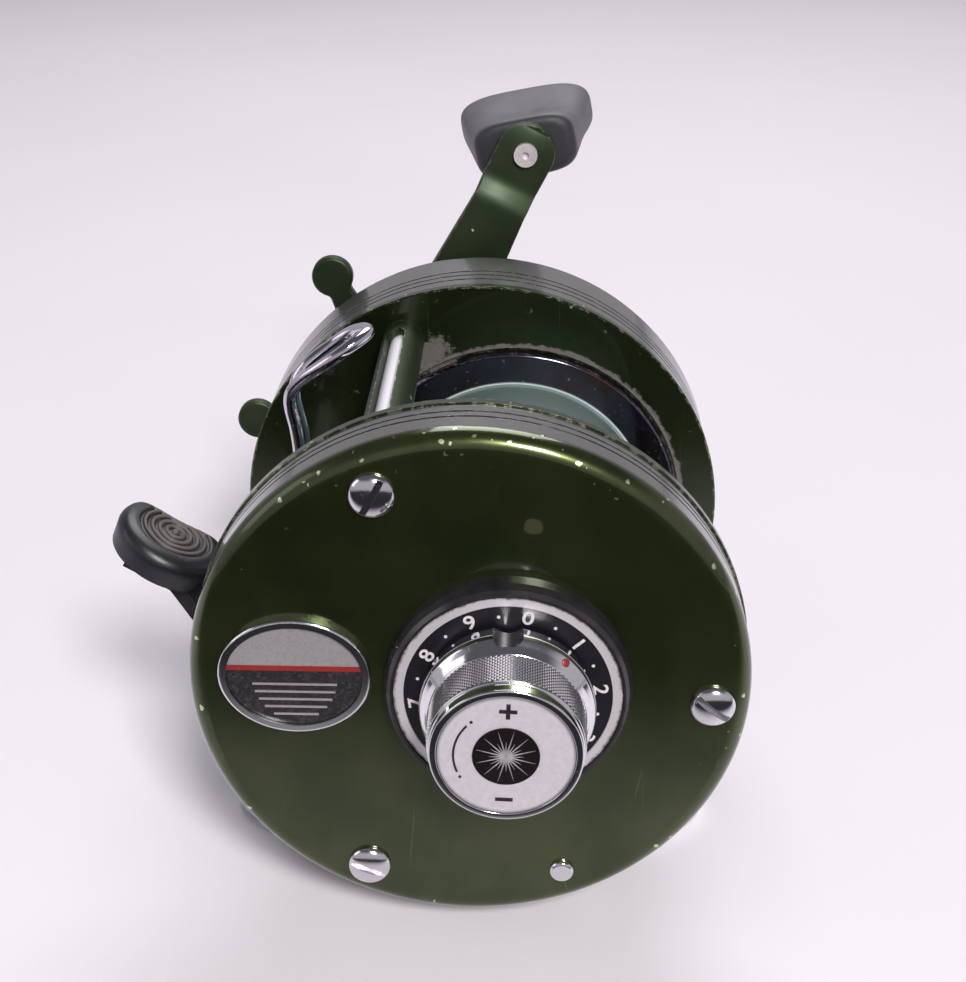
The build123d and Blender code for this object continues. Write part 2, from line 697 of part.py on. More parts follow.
# --- right side: gear plate and clutch ----------------------------------
gear_plate_y = right_out - 1.0
dog_x = drive_x - 2.0
dog_z = drive_z + 9.0
with BuildPart() as gear_plate:
    with BuildSketch(across(gear_plate_y)):
        with Locations((0, axis_h)):
            Circle(25.4)
        with Locations((spool_x, spool_z)):
            Circle(4.2, mode=Mode.SUBTRACT)
        with Locations((drive_x, drive_z)):
            Circle(drive_r + run_fit, mode=Mode.SUBTRACT)
        with Locations((lever_x, lever_z)):
            Circle(shaft_hole_r, mode=Mode.SUBTRACT)
        with Locations(*right_screws):
            Circle(screw_r + run_fit, mode=Mode.SUBTRACT)
    extrude(amount=-1.0)
save(gear_plate.part, "gear_plate")

pinion_in = right_out
groove_y = right_out - 1.9
with BuildPart() as pinion:
    bar(groove_y, pinion_in, 3.6, spool_x, spool_z)
    bar(groove_y - 1.0, groove_y, 2.3, spool_x, spool_z)
    with BuildSketch(across(groove_y - 5.1)):
        toothed(spool_x, spool_z, pinion_teeth, drive_angle)
    extrude(amount=-4.1)
    bar(groove_y - 5.1, pinion_in, spool_shaft_r + run_fit, spool_x, spool_z, Mode.SUBTRACT)
    with Locations((spool_x, pinion_in - 0.65, spool_z)):
        Box(2 * pin_r + 0.3, 1.3, 8, mode=Mode.SUBTRACT)
save(pinion.part, "pinion")

yoke_y0 = groove_y - 0.9
with BuildPart() as clutch_yoke:
    with BuildSketch(across(yoke_y0)):
        with Locations((spool_x - 3.15, spool_z)):
            RectangleRounded(8.7, 23.4, 1.5)
        with Locations((spool_x, spool_z)):
            Circle(2.3 + 0.1, mode=Mode.SUBTRACT)
        with Locations((spool_x + 5, spool_z)):
            Rectangle(10, 2 * 2.4, mode=Mode.SUBTRACT)
        with Locations(*post_spots):
            Circle(0.9 + run_fit, mode=Mode.SUBTRACT)
    extrude(amount=-0.8)
save(clutch_yoke.part, "clutch_yoke")

post_end = right_inner + 2.3
with BuildPart() as gear_studs:
    for spot in post_spots:
        bar(post_end, gear_plate_y, 0.9, spot[0], spot[1])
        bar(post_end, post_end + 0.4, 1.8, spot[0], spot[1])
    bar(gear_plate_y - 2.1, gear_plate_y, 1.0, dog_x, dog_z)
    bar(left_out, cog_y1 + 0.2, stud_r, idler_x, idler_z)
    bar(left_out, left_out + 0.4, 2.2, idler_x, idler_z)
    bar(cog_y1 + 0.2, cog_y1 + 0.9, 2.0, idler_x, idler_z)
save(gear_studs.part, "gear_studs")

spring_len = yoke_y0 - (post_end + 0.4)
with BuildPart() as one_spring:
    with BuildLine() as spring_line:
        Helix(pitch=0.9, height=spring_len - 0.5, radius=1.35)
    with BuildSketch(Plane(origin=(1.35, 0, 0), x_dir=(1, 0, 0), z_dir=(0, 1, 0.1))):
        Circle(0.2)
    sweep(path=spring_line.line)
lower_spring = one_spring.part.rotate(Axis.X, -90)
springs = []
for spot in post_spots:
    springs.append(lower_spring.translate((spot[0], post_end + 0.65, spot[1])))
save(Compound(children=springs), "yoke_springs")

# --- drive train ---------------------------------------------------------
main_y0 = right_out - 5.6
main_w = 2.2
with BuildPart() as main_gear:
    with BuildSketch(across(main_y0)):
        toothed(drive_x, drive_z, main_teeth, drive_angle + 180 + 180 / main_teeth)
        with Locations((drive_x, drive_z)):
            Circle(drive_r + run_fit, mode=Mode.SUBTRACT)
            with PolarLocations(9.6, 6):
                Circle(1.3, mode=Mode.SUBTRACT)
    extrude(amount=-main_w)
save(main_gear.part, "main_gear")

shaft_tip = right_face - 10.2
with BuildPart() as drive_shaft:
    bar(shaft_tip, right_out - 0.05, drive_r, drive_x, drive_z)
    tip = faces().sort_by(Axis.Y)[0].edges()
    chamfer(tip, 0.3)
save(drive_shaft.part, "drive_shaft")

ratchet_teeth = 12
with BuildPart() as ratchet:
    with BuildSketch(across(gear_plate_y - 1.3)):
        with Locations((drive_x, drive_z)):
            Circle(4.2)
            with PolarLocations(4.0, ratchet_teeth):
                Polygon((0, -0.9), (1.25, 0.55), (0, 0.75), align=None)
            Circle(drive_r, mode=Mode.SUBTRACT)
    extrude(amount=-1.0)
save(ratchet.part, "ratchet_wheel")

with BuildPart() as dog:
    with BuildSketch(across(gear_plate_y - 1.3)):
        with Locations((dog_x, dog_z)):
            Circle(2.2)
        with BuildLine():
            Polyline(
                (dog_x - 1.6, dog_z - 1.2), (dog_x - 1.9, drive_z + 5.0), (dog_x - 1.0, drive_z + 4.95),
                (dog_x + 1.8, dog_z - 1.0), close=True,
            )
        make_face()
        with Locations((dog_x, dog_z)):
            Circle(1.0 + run_fit, mode=Mode.SUBTRACT)
    extrude(amount=-1.0)
save(dog.part, "anti_reverse_dog")

washer_t = 0.6
washer_gap = 0.01
with BuildPart() as drag_washers:
    for step in (0, 1, 2):
        y0 = main_y0 - (step + 1) * washer_t
        ring(y0 + washer_gap, y0 + washer_t, 7.8 - 0.3 * (step % 2), drive_r + run_fit, drive_x, drive_z)
save(drag_washers.part, "drag_washers")

press_y = main_y0 - 3 * washer_t
sleeve_end = right_face - 1.8
with BuildPart() as pressure_plate:
    ring(press_y - 0.8, press_y, 7.6, drive_r + run_fit, drive_x, drive_z)
    ring(sleeve_end, press_y - 0.8, 2.9, drive_r + run_fit, drive_x, drive_z)
save(pressure_plate.part, "drag_pressure_plate")

with BuildPart() as drive_bush:
    ring(right_face - 1.4, right_inner + 0.3, 3.9, 2.9 + run_fit, drive_x, drive_z)
save(drive_bush.part, "drive_bushing")

with BuildPart() as spring_washer:
    turned(
        [(sleeve_end, 2.2), (sleeve_end, 2.9), (sleeve_end - 0.35, 4.7), (sleeve_end - 0.6, 4.7),
         (sleeve_end - 0.3, 2.2)],
        drive_x, drive_z,
    )
save(spring_washer.part, "star_spring_washer")

# --- right side cover ----------------------------------------------------
cap_h = 0.8
with BuildPart() as right_cover:
    bar(right_face, right_out, cup_r, 0, axis_h)
    rim = faces().sort_by(Axis.Y)[0].edges()
    fillet(rim, cup_edge)
    bar(right_inner, right_out, cup_r - cup_wall, 0, axis_h, Mode.SUBTRACT)
    for spot in right_screws:
        bar(right_inner, gear_plate_y, screw_boss_r, spot[0], spot[1])
    bar(right_face - cap_h, right_inner + 1.3, 5.4, spool_x, spool_z)
    bar(right_face - 1.2, right_inner, 5.6, drive_x, drive_z)
    bar(right_pocket, right_inner + 1.3, bearing_r, spool_x, spool_z, Mode.SUBTRACT)
    bar(right_face - 1.2, right_inner, 3.9, drive_x, drive_z, Mode.SUBTRACT)
    for spot in right_screws:
        bar(right_face, gear_plate_y, screw_r + run_fit, spot[0], spot[1], Mode.SUBTRACT)
    for y in (right_out - 2.1, right_out - 3.5, right_out - 4.8):
        with BuildSketch(across(y - groove_w / 2)):
            with Locations((0, axis_h)):
                Circle(cup_r + 1)
                Circle(cup_r - groove_d, mode=Mode.SUBTRACT)
        extrude(amount=-groove_w, mode=Mode.SUBTRACT)
save(right_cover.part, "right_side_cover")

# --- star drag, handle and knobs ----------------------------------------
star_y0 = right_face - 4.4
star_phase = 64.4
with BuildPart() as star:
    with BuildSketch(across(star_y0)):
        with Locations((drive_x, drive_z)):
            Circle(6.2)
            with PolarLocations(0, 5, start_angle=star_phase):
                Polygon((0, -3.6), (star_r, -1.1), (star_r, 1.1), (0, 3.6), align=None)
            with PolarLocations(star_r, 5, start_angle=star_phase):
                Circle(star_tip_r)
    extrude(amount=-1.6)
    necks = edges().filter_by(Axis.Y)
    fillet(necks, 0.8)
    faces_rim = faces().filter_by(Axis.Y).edges()
    fillet(faces_rim, 0.4)
    bar(star_y0 - 0.8, star_y0 + 1.9, 5.0, drive_x, drive_z)
    bar(star_y0 - 1, star_y0 + 3, drive_r + 0.08, drive_x, drive_z, Mode.SUBTRACT)
save(star.part, "star_drag")

arm_y0 = star_y0 - 3.4
arm_dir = math.atan2(30.7, -15.3)
end_dx = handle_len * math.cos(arm_dir)
end_dz = handle_len * math.sin(arm_dir)
arm_deg = math.degrees(arm_dir)
pad_step = 1.2
with BuildPart() as handle_arm:
    with BuildSketch(across(arm_y0)):
        with Locations(Location((drive_x, drive_z), arm_deg)):
            Circle(6.0)
            for side in (1, -1):
                Polygon(
                    (0, -5.4), (side * 29.5, -3.3), (side * 29.5, 3.3), (0, 5.4), align=None,
                )
    extrude(amount=-arm_t)
    for side in (1, -1):
        lead_x = drive_x + side * end_dx * 28.3 / handle_len
        lead_z = drive_z + side * end_dz * 28.3 / handle_len
        px = drive_x + side * end_dx
        pz = drive_z + side * end_dz
        with BuildSketch(across(arm_y0 - pad_step)):
            with Locations(Location((drive_x, drive_z), arm_deg)):
                with Locations((side * handle_len, 0)):
                    Circle(3.5)
                Polygon(
                    (side * 28.6, -3.35), (side * handle_len, -3.5), (side * handle_len, 3.5),
                    (side * 28.6, 3.35), align=None,
                )
        extrude(amount=-arm_t)
        bar(arm_y0 - pad_step, arm_y0 - pad_step + arm_t, 1.0, px, pz, Mode.SUBTRACT)
    bar(arm_y0, arm_y0 + arm_t, drive_r, drive_x, drive_z, Mode.SUBTRACT)
save(handle_arm.part, "handle_arm")

with BuildPart() as handle_nut:
    with BuildSketch(across(arm_y0 - 2.6)):
        with Locations((drive_x, drive_z)):
            RegularPolygon(4.2, 6)
            Circle(drive_r, mode=Mode.SUBTRACT)
    extrude(amount=-2.6)
    bar(arm_y0 - 3.2, arm_y0 - 2.6, 3.6, drive_x, drive_z)
    bar(shaft_tip, arm_y0, drive_r, drive_x, drive_z, Mode.SUBTRACT)
save(handle_nut.part, "handle_nut")

knob_y1 = arm_y0 - pad_step - 0.8
knob_len = 17.0
knob_y0 = knob_y1 - knob_len
pin_spots = [(drive_x + end_dx, drive_z + end_dz), (drive_x - end_dx, drive_z - end_dz)]
knob_pin_r = 1.0


def paddle(x, z):
    rolled = Location((x, z, 0), (0, 0, -grip_roll))
    with BuildSketch(across(knob_y1)) as near_end:
        with Locations(rolled):
            RectangleRounded(12.0, 7.8, 2.4)
    with BuildSketch(across(knob_y0)) as far_end:
        with Locations(rolled):
            RectangleRounded(17.6, 7.6, 2.4)
    loft([near_end.sketch, far_end.sketch])
    soft = faces().filter_by(Axis.Y).edges()
    fillet(soft, 1.0)
    for side in (1, -1):
        dish_x = x + side * 27.9 * math.sin(math.radians(grip_roll))
        dish_z = z + side * 27.9 * math.cos(math.radians(grip_roll))
        with Locations((dish_x, (knob_y0 + knob_y1) / 2 - 2, dish_z)):
            Cylinder(24.9, 40, rotation=(90, 0, 0), mode=Mode.SUBTRACT)
    bar(knob_y0 - 1, knob_y1 + 1, knob_pin_r + run_fit, x, z, Mode.SUBTRACT)
    bar(knob_y0 - 1, knob_y0 + 1.4, 2.2, x, z, Mode.SUBTRACT)


with BuildPart() as knob_a:
    paddle(pin_spots[0][0], pin_spots[0][1])
save(knob_a.part, "upper_handle_knob")

with BuildPart() as knob_b:
    paddle(pin_spots[1][0], pin_spots[1][1])
save(knob_b.part, "lower_handle_knob")

with BuildPart() as knob_rivets:
    for spot in pin_spots:
        bar(knob_y0 + 0.4, arm_y0 - pad_step + arm_t, knob_pin_r, spot[0], spot[1])
        head_y = arm_y0 - pad_step + arm_t
        bar(head_y, head_y + 0.7, 1.4, spot[0], spot[1])
        bar(head_y + 0.2, head_y + 0.8, 0.45, spot[0], spot[1], Mode.SUBTRACT)
        bar(knob_y0 + 0.4, knob_y0 + 1.1, 1.9, spot[0], spot[1])
save(knob_rivets.part, "knob_rivets")
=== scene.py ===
import json
import math
import bmesh
import bpy
from mathutils import Matrix, Vector

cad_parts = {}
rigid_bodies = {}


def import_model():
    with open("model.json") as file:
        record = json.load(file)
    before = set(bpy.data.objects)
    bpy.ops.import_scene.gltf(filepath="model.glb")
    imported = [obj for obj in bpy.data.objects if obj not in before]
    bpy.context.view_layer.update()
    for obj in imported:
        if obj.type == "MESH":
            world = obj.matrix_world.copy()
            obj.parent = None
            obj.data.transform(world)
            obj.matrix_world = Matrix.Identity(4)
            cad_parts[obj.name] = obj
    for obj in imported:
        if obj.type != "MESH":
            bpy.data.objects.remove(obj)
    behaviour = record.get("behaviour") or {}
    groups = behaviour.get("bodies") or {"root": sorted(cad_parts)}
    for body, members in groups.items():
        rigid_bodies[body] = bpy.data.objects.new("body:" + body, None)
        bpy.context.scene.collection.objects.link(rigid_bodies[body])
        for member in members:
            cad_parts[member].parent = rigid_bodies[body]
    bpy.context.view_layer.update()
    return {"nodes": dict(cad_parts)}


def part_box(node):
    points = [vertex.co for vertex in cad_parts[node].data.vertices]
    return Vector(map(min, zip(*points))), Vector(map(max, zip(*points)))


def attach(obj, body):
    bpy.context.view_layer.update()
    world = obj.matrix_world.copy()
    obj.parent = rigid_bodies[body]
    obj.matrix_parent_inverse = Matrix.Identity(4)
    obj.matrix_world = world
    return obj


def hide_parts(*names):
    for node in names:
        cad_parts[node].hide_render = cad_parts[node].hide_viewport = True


for leftover in list(bpy.data.objects):
    bpy.data.objects.remove(leftover)
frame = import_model()
scene = bpy.context.scene
mm = 0.001  # shapes below are worked out in millimetres
print("frame loaded")


# Places, all read from the frame. X forward, Y towards the palm side, Z up.
def low(node):
    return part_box(node)[0] / mm


def high(node):
    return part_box(node)[1] / mm


def middle(node):
    return (low(node) + high(node)) / 2


plateCentre = middle("left_side_cover")
spoolCentre = middle("spool")
driveCentre = middle("drive_shaft")
palmFaceY = low("dial_plate").y
dialFaceY = high("dial_plate").y
knobFrontY = high("cast_control_knob").y
capFaceY = high("knob_cap").y
handleFaceY = low("right_side_cover").y + 1.2
coverRadius = (high("left_side_cover").x - low("left_side_cover").x) / 2
flangeRadius = (high("spool").x - low("spool").x) / 2


# Shader helpers
def addNode(tree, kind, inputs=None, **settings):
    node = tree.nodes.new(kind)
    for key, value in settings.items():
        setattr(node, key, value)
    for key, value in (inputs or {}).items():
        socket = node.inputs[key]
        if isinstance(value, bpy.types.NodeSocket):
            tree.links.new(value, socket)
        else:
            socket.default_value = value
    return node


def calc(tree, operation, a, b=None, c=None):
    given = {index: value for index, value in enumerate((a, b, c)) if value is not None}
    return addNode(tree, "ShaderNodeMath", given, operation=operation).outputs[0]


def fade(tree, value, start, end, low=0.0, high=1.0):
    given = {"Value": value, "From Min": start, "From Max": end, "To Min": low, "To Max": high}
    return addNode(tree, "ShaderNodeMapRange", given, interpolation_type="SMOOTHSTEP").outputs["Result"]


def mixColour(tree, factor, a, b, blend="MIX"):
    node = addNode(tree, "ShaderNodeMix", data_type="RGBA", blend_type=blend)
    sockets = [s for s in node.inputs if s.type == "RGBA"]
    for socket, value in ((node.inputs["Factor"], factor), (sockets[0], a), (sockets[1], b)):
        if isinstance(value, bpy.types.NodeSocket):
            tree.links.new(value, socket)
        elif socket.type == "RGBA":
            socket.default_value = (*value, 1.0)
        else:
            socket.default_value = value
    return [s for s in node.outputs if s.type == "RGBA"][0]


def noise(tree, vector, scale, detail=3.0, roughness=0.55):
    given = {"Vector": vector, "Scale": scale, "Detail": detail, "Roughness": roughness}
    return addNode(tree, "ShaderNodeTexNoise", given).outputs["Fac"]


def newGroup(name, inputs, outputs):
    tree = bpy.data.node_groups.new(name, "ShaderNodeTree")
    for label, kind, value in inputs:
        socket = tree.interface.new_socket(label, in_out="INPUT", socket_type=kind)
        if value is not None:
            socket.default_value = value
    for label, kind in outputs:
        tree.interface.new_socket(label, in_out="OUTPUT", socket_type=kind)
    return tree, tree.nodes.new("NodeGroupInput").outputs, tree.nodes.new("NodeGroupOutput").inputs


def useGroup(tree, group, inputs):
    node = tree.nodes.new("ShaderNodeGroup")
    node.node_tree = group
    for key, value in inputs.items():
        if isinstance(value, bpy.types.NodeSocket):
            tree.links.new(value, node.inputs[key])
        else:
            node.inputs[key].default_value = value
    return node.outputs


floatKind, vectorKind, colourKind = "NodeSocketFloat", "NodeSocketVector", "NodeSocketColor"


# Bare metal or dirt that shows along worn corners
def makeEdgeWear():
    tree, given, result = newGroup(
        "edgeWear",
        [("Vector", vectorKind, None), ("Radius", floatKind, 0.0003), ("Strength", floatKind, 5.0),
         ("Scale", floatKind, 1.2), ("Breakup", floatKind, 0.5)],
        [("Mask", floatKind)],
    )
    rounded = addNode(tree, "ShaderNodeBevel", {"Radius": given["Radius"]}, samples=4).outputs["Normal"]
    flat = tree.nodes.new("ShaderNodeNewGeometry").outputs["Normal"]
    turned = addNode(tree, "ShaderNodeVectorMath", {0: rounded, 1: flat}, operation="DOT_PRODUCT")
    edge = calc(tree, "MULTIPLY", calc(tree, "SUBTRACT", 1.0, turned.outputs["Value"]), given["Strength"])
    cloud = noise(tree, given["Vector"], given["Scale"], 6.0, 0.7)
    kept = fade(tree, cloud, given["Breakup"], calc(tree, "ADD", given["Breakup"], 0.12))
    mask = calc(tree, "MULTIPLY", edge, kept)
    tree.links.new(addNode(tree, "ShaderNodeClamp", {"Value": mask}).outputs[0], result["Mask"])
    return tree


# Small hard-edged flakes missing from a coating
def makeChips():
    tree, given, result = newGroup(
        "coatingChips",
        [("Vector", vectorKind, None), ("Scale", floatKind, 0.5), ("Size", floatKind, 0.1),
         ("Coverage", floatKind, 0.3)],
        [("Mask", floatKind)],
    )
    bend = addNode(tree, "ShaderNodeTexNoise", {"Vector": given["Vector"], "Scale": 2.2, "Detail": 3.0})
    moved = addNode(tree, "ShaderNodeVectorMath", {0: bend.outputs["Color"], "Scale": 0.6}, operation="SCALE")
    place = addNode(tree, "ShaderNodeVectorMath", {0: given["Vector"], 1: moved.outputs[0]}, operation="ADD")
    cells = addNode(tree, "ShaderNodeTexVoronoi", {"Vector": place.outputs[0], "Scale": given["Scale"]})
    pick = addNode(tree, "ShaderNodeSeparateColor", {"Color": cells.outputs["Color"]}).outputs
    chosen = calc(tree, "LESS_THAN", pick["Red"], given["Coverage"])
    reach = calc(tree, "MULTIPLY", given["Size"], calc(tree, "MULTIPLY_ADD", pick["Green"], 1.3, 0.25))
    inside = calc(tree, "LESS_THAN", cells.outputs["Distance"], reach)
    tree.links.new(calc(tree, "MULTIPLY", chosen, inside), result["Mask"])
    return tree


# Hairline scratches in two directions
def makeScratches():
    tree, given, result = newGroup(
        "hairlines",
        [("Vector", vectorKind, None), ("Scale", floatKind, 0.35), ("Width", floatKind, 0.012),
         ("Amount", floatKind, 0.45)],
        [("Mask", floatKind)],
    )
    total = None
    for turn, stretch in ((0.6, 0.05), (-1.1, 0.08)):
        laid = addNode(
            tree, "ShaderNodeMapping",
            {"Vector": given["Vector"], "Rotation": (0.2, turn, turn), "Scale": (1.0, stretch, stretch)},
        )
        cells = addNode(
            tree, "ShaderNodeTexVoronoi", {"Vector": laid.outputs[0], "Scale": given["Scale"]},
            feature="DISTANCE_TO_EDGE",
        )
        line = calc(tree, "LESS_THAN", cells.outputs["Distance"], given["Width"])
        least = calc(tree, "SUBTRACT", 1.0, given["Amount"])
        patch = fade(tree, noise(tree, laid.outputs[0], 0.9), least, 0.8)
        mark = calc(tree, "MULTIPLY", line, patch)
        total = mark if total is None else calc(tree, "MAXIMUM", total, mark)
    tree.links.new(total, result["Mask"])
    return tree


# Fine dust that clings to corners and pockets
def makeDust():
    tree, given, result = newGroup(
        "clingingDust",
        [("Vector", vectorKind, None), ("Place", floatKind, 1.0), ("Grain", floatKind, 9.0),
         ("Ragged", floatKind, 0.5)],
        [("Mask", floatKind), ("Height", floatKind)],
    )
    patches = noise(tree, given["Vector"], 0.8, 5.0, 0.7)
    grain = noise(tree, given["Vector"], given["Grain"], 2.0)
    wander = calc(tree, "MULTIPLY", calc(tree, "SUBTRACT", patches, 0.5), given["Ragged"])
    shifted = calc(tree, "ADD", given["Place"], wander)
    laid = fade(tree, shifted, 0.35, 0.85)
    tree.links.new(calc(tree, "MULTIPLY", laid, fade(tree, grain, 0.2, 0.65, 0.25, 1.0)), result["Mask"])
    tree.links.new(calc(tree, "MULTIPLY", laid, grain), result["Height"])
    return tree


# Concentric tool lines of a turned face; the vector is centred on the turning axis
def makeTurnedLines():
    tree, given, result = newGroup(
        "turnedLines",
        [("Vector", vectorKind, None), ("Pitch", floatKind, 0.12)],
        [("Height", floatKind), ("Radius", floatKind)],
    )
    parts = addNode(tree, "ShaderNodeSeparateXYZ", {0: given["Vector"]}).outputs
    squares = [calc(tree, "MULTIPLY", parts[axis], parts[axis]) for axis in ("X", "Z")]
    radius = calc(tree, "SQRT", calc(tree, "ADD", *squares))
    outward = calc(tree, "DIVIDE", radius, given["Pitch"])
    along = calc(tree, "MULTIPLY", parts["Y"], 6.0)
    unrolled = addNode(tree, "ShaderNodeCombineXYZ", {"X": outward, "Y": along}).outputs[0]
    lines = noise(tree, unrolled, 1.0, 2.0)
    tree.links.new(lines, result["Height"])
    tree.links.new(radius, result["Radius"])
    return tree


# Greasy marks that change only the shine
def makeHandling():
    tree, given, result = newGroup(
        "handling",
        [("Vector", vectorKind, None), ("Base", floatKind, 0.2), ("Spread", floatKind, 0.15)],
        [("Roughness", floatKind)],
    )
    wide = noise(tree, given["Vector"], 0.12, 4.0, 0.6)
    close = noise(tree, given["Vector"], 1.6, 5.0, 0.7)
    blend = calc(tree, "ADD", calc(tree, "MULTIPLY", wide, 0.65), calc(tree, "MULTIPLY", close, 0.35))
    rough = calc(tree, "MULTIPLY_ADD", calc(tree, "SUBTRACT", blend, 0.42), given["Spread"], given["Base"])
    tree.links.new(rough, result["Roughness"])
    return tree


edgeWear = makeEdgeWear()
coatingChips = makeChips()
hairlines = makeScratches()
clingingDust = makeDust()
turnedLines = makeTurnedLines()
handling = makeHandling()


def newMaterial(name, **constants):
    material = bpy.data.materials.new(name)
    material.use_nodes = True
    tree = material.node_tree
    shader = tree.nodes["Principled BSDF"]
    for key, value in constants.items():
        shader.inputs[key.replace("_", " ")].default_value = value
    return material, tree, shader.inputs


def inMillimetres(tree, centre=(0.0, 0.0, 0.0)):
    place = addNode(tree, "ShaderNodeTexCoord").outputs["Object"]
    shift = tuple(-value for value in centre)
    return addNode(
        tree, "ShaderNodeMapping", {"Vector": place, "Location": shift, "Scale": (1 / mm,) * 3}
    ).outputs[0]


def marks(tree, group, place, **values):
    return useGroup(tree, group, {"Vector": place, **values})["Mask"]


def handled(tree, place, base, spread):
    return useGroup(tree, handling, {"Vector": place, "Base": base, "Spread": spread})["Roughness"]


def bump(tree, height, distance, strength=1.0, under=None):
    given = {"Height": height, "Distance": distance * mm, "Strength": strength}
    if under is not None:
        given["Normal"] = under
    return addNode(tree, "ShaderNodeBump", given).outputs["Normal"]


# Dyed green metal under clear lacquer: covers, plates, handle and star
greenFinish = {
    "deep": (0.024, 0.037, 0.010),
    "olive": (0.042, 0.055, 0.018),
    "chipColour": (0.62, 0.66, 0.42),
    "dustColour": (0.150, 0.130, 0.124),
    "sideReflectionGrey": (0.20, 0.19, 0.195),
    "roughness": 0.30,
    "coat": 0.55,
    "coatRoughness": 0.06,
}


def makeGreen(
    name, centre, linePitch=0.16, lineDepth=0.004, chipZone=None, chipFaceY=None, dustZones=(), wear=4.0,
    chipCover=0.16, tones=None, gloss=None, flake=None,
):
    look = greenFinish
    deep, olive = tones or (look["deep"], look["olive"])
    coat, coatRoughness, roughness = gloss or (look["coat"], look["coatRoughness"], look["roughness"])
    material, tree, inputs = newMaterial(
        name, Metallic=0.85, Coat_Weight=coat, Coat_Roughness=coatRoughness, Coat_IOR=1.6
    )
    place = inMillimetres(tree, centre)
    turning = useGroup(tree, turnedLines, {"Vector": place, "Pitch": linePitch})
    tone = noise(tree, place, 0.09, 4.0)
    colour = mixColour(tree, fade(tree, tone, 0.35, 0.65), deep, olive)
    colour = mixColour(tree, calc(tree, "MULTIPLY", turning["Height"], 0.25), colour, (0.03, 0.045, 0.015))
    worn = marks(tree, edgeWear, place, Radius=0.25 * mm, Strength=wear, Breakup=0.5)
    level = addNode(tree, "ShaderNodeSeparateXYZ", {0: place}).outputs
    slope = calc(tree, "DIVIDE", level["Z"], calc(tree, "ADD", turning["Radius"], 0.01))
    upper = fade(tree, slope, 0.1, 0.9, 0.25, 1.0)
    cover = calc(tree, "MULTIPLY", upper, chipCover)
    chips = marks(tree, coatingChips, place, Scale=0.8, Size=0.14, Coverage=cover)
    if chipZone:
        start, end = chipZone
        ragged = calc(tree, "MULTIPLY_ADD", noise(tree, place, 0.25, 3.0), 3.0, turning["Radius"])
        chips = calc(tree, "MULTIPLY", chips, fade(tree, ragged, start + 1.5, end + 1.5))
    if chipFaceY:
        behind = calc(tree, "ABSOLUTE", calc(tree, "SUBTRACT", level["Y"], chipFaceY - centre[1]))
        chips = calc(tree, "MULTIPLY", chips, fade(tree, behind, 2.4, 1.6))
        # On the cover's side band, past the face edge, the colour turns grey: a painted reflection of the pale
        # surroundings.
        pastEdge = fade(tree, turning["Radius"], 26.0, 26.8)
        onSide = calc(tree, "MULTIPLY", fade(tree, behind, 1.2, 2.2), pastEdge)
        colour = mixColour(tree, calc(tree, "MULTIPLY", onSide, 0.85), colour, look["sideReflectionGrey"])
    specks = marks(tree, coatingChips, place, Scale=0.42, Size=0.05, Coverage=0.1)
    bare = calc(tree, "MAXIMUM", calc(tree, "MAXIMUM", worn, chips), specks)
    if flake:
        flakeSpot, flakeRadius = flake
        away = addNode(tree, "ShaderNodeVectorMath", {0: place, 1: flakeSpot}, operation="DISTANCE")
        edge = calc(tree, "MULTIPLY_ADD", noise(tree, place, 1.6, 3.0), 0.5, away.outputs["Value"])
        flaked = fade(tree, edge, flakeRadius + 0.32, flakeRadius + 0.2)
        colour = mixColour(tree, flaked, colour, (0.17, 0.185, 0.085))
    scratch = marks(tree, hairlines, place, Amount=0.42)
    colour = mixColour(tree, calc(tree, "MULTIPLY", scratch, 0.35), colour, (0.16, 0.2, 0.09))
    colour = mixColour(tree, bare, colour, look["chipColour"])
    rough = handled(tree, place, roughness, 0.16)
    metallic = calc(tree, "MULTIPLY_ADD", bare, 0.1, 0.85)
    normal = bump(tree, turning["Height"], lineDepth)
    normal = bump(tree, calc(tree, "SUBTRACT", 1.0, bare), 0.02, 0.6, normal)
    for spot, inner, outer, edgeSoft in dustZones:
        away = addNode(
            tree, "ShaderNodeVectorMath", {0: place, 1: tuple(spot - centre)}, operation="SUBTRACT"
        ).outputs[0]
        parts = addNode(tree, "ShaderNodeSeparateXYZ", {0: away}).outputs
        flat = addNode(tree, "ShaderNodeCombineXYZ", {"X": parts["X"], "Z": parts["Z"]}).outputs[0]
        radius = addNode(tree, "ShaderNodeVectorMath", {0: flat}, operation="LENGTH").outputs["Value"]
        ringIn = fade(tree, radius, inner - edgeSoft, inner + edgeSoft)
        ringOut = fade(tree, radius, outer + edgeSoft, outer - edgeSoft)
        nearFace = fade(tree, calc(tree, "ABSOLUTE", parts["Y"]), 0.9, 0.6)
        zone = calc(tree, "MULTIPLY", calc(tree, "MULTIPLY", ringIn, ringOut), nearFace)
        dust = useGroup(tree, clingingDust, {"Vector": place, "Place": zone, "Ragged": 2.4})
        colour = mixColour(tree, dust["Mask"], colour, look["dustColour"])
        metallic = calc(tree, "MULTIPLY", metallic, calc(tree, "SUBTRACT", 1.0, dust["Mask"]))
        rough = calc(tree, "MAXIMUM", rough, calc(tree, "MULTIPLY", dust["Mask"], 0.95))
        normal = bump(tree, dust["Height"], 0.12, 0.7, normal)
    tree.links.new(colour, inputs["Base Color"])
    tree.links.new(metallic, inputs["Metallic"])
    tree.links.new(rough, inputs["Roughness"])
    tree.links.new(normal, inputs["Normal"])
    return material


# The spool alone: teal drum and pale lip painted as reflection and highlight, darker brown-patched flange with
# pale motes, dust at its rim
spoolFinish = {
    "drumRadius": 15.21, "drumReflection": (0.17, 0.25, 0.23), "lipHighlight": (0.74, 0.82, 0.80),
    "flangeDark": (0.13, 0.12, 0.165), "flangeBrown": (0.17, 0.07, 0.055), "mote": (0.62, 0.6, 0.64),
    "dustFrom": (18.3, 19.3),
}


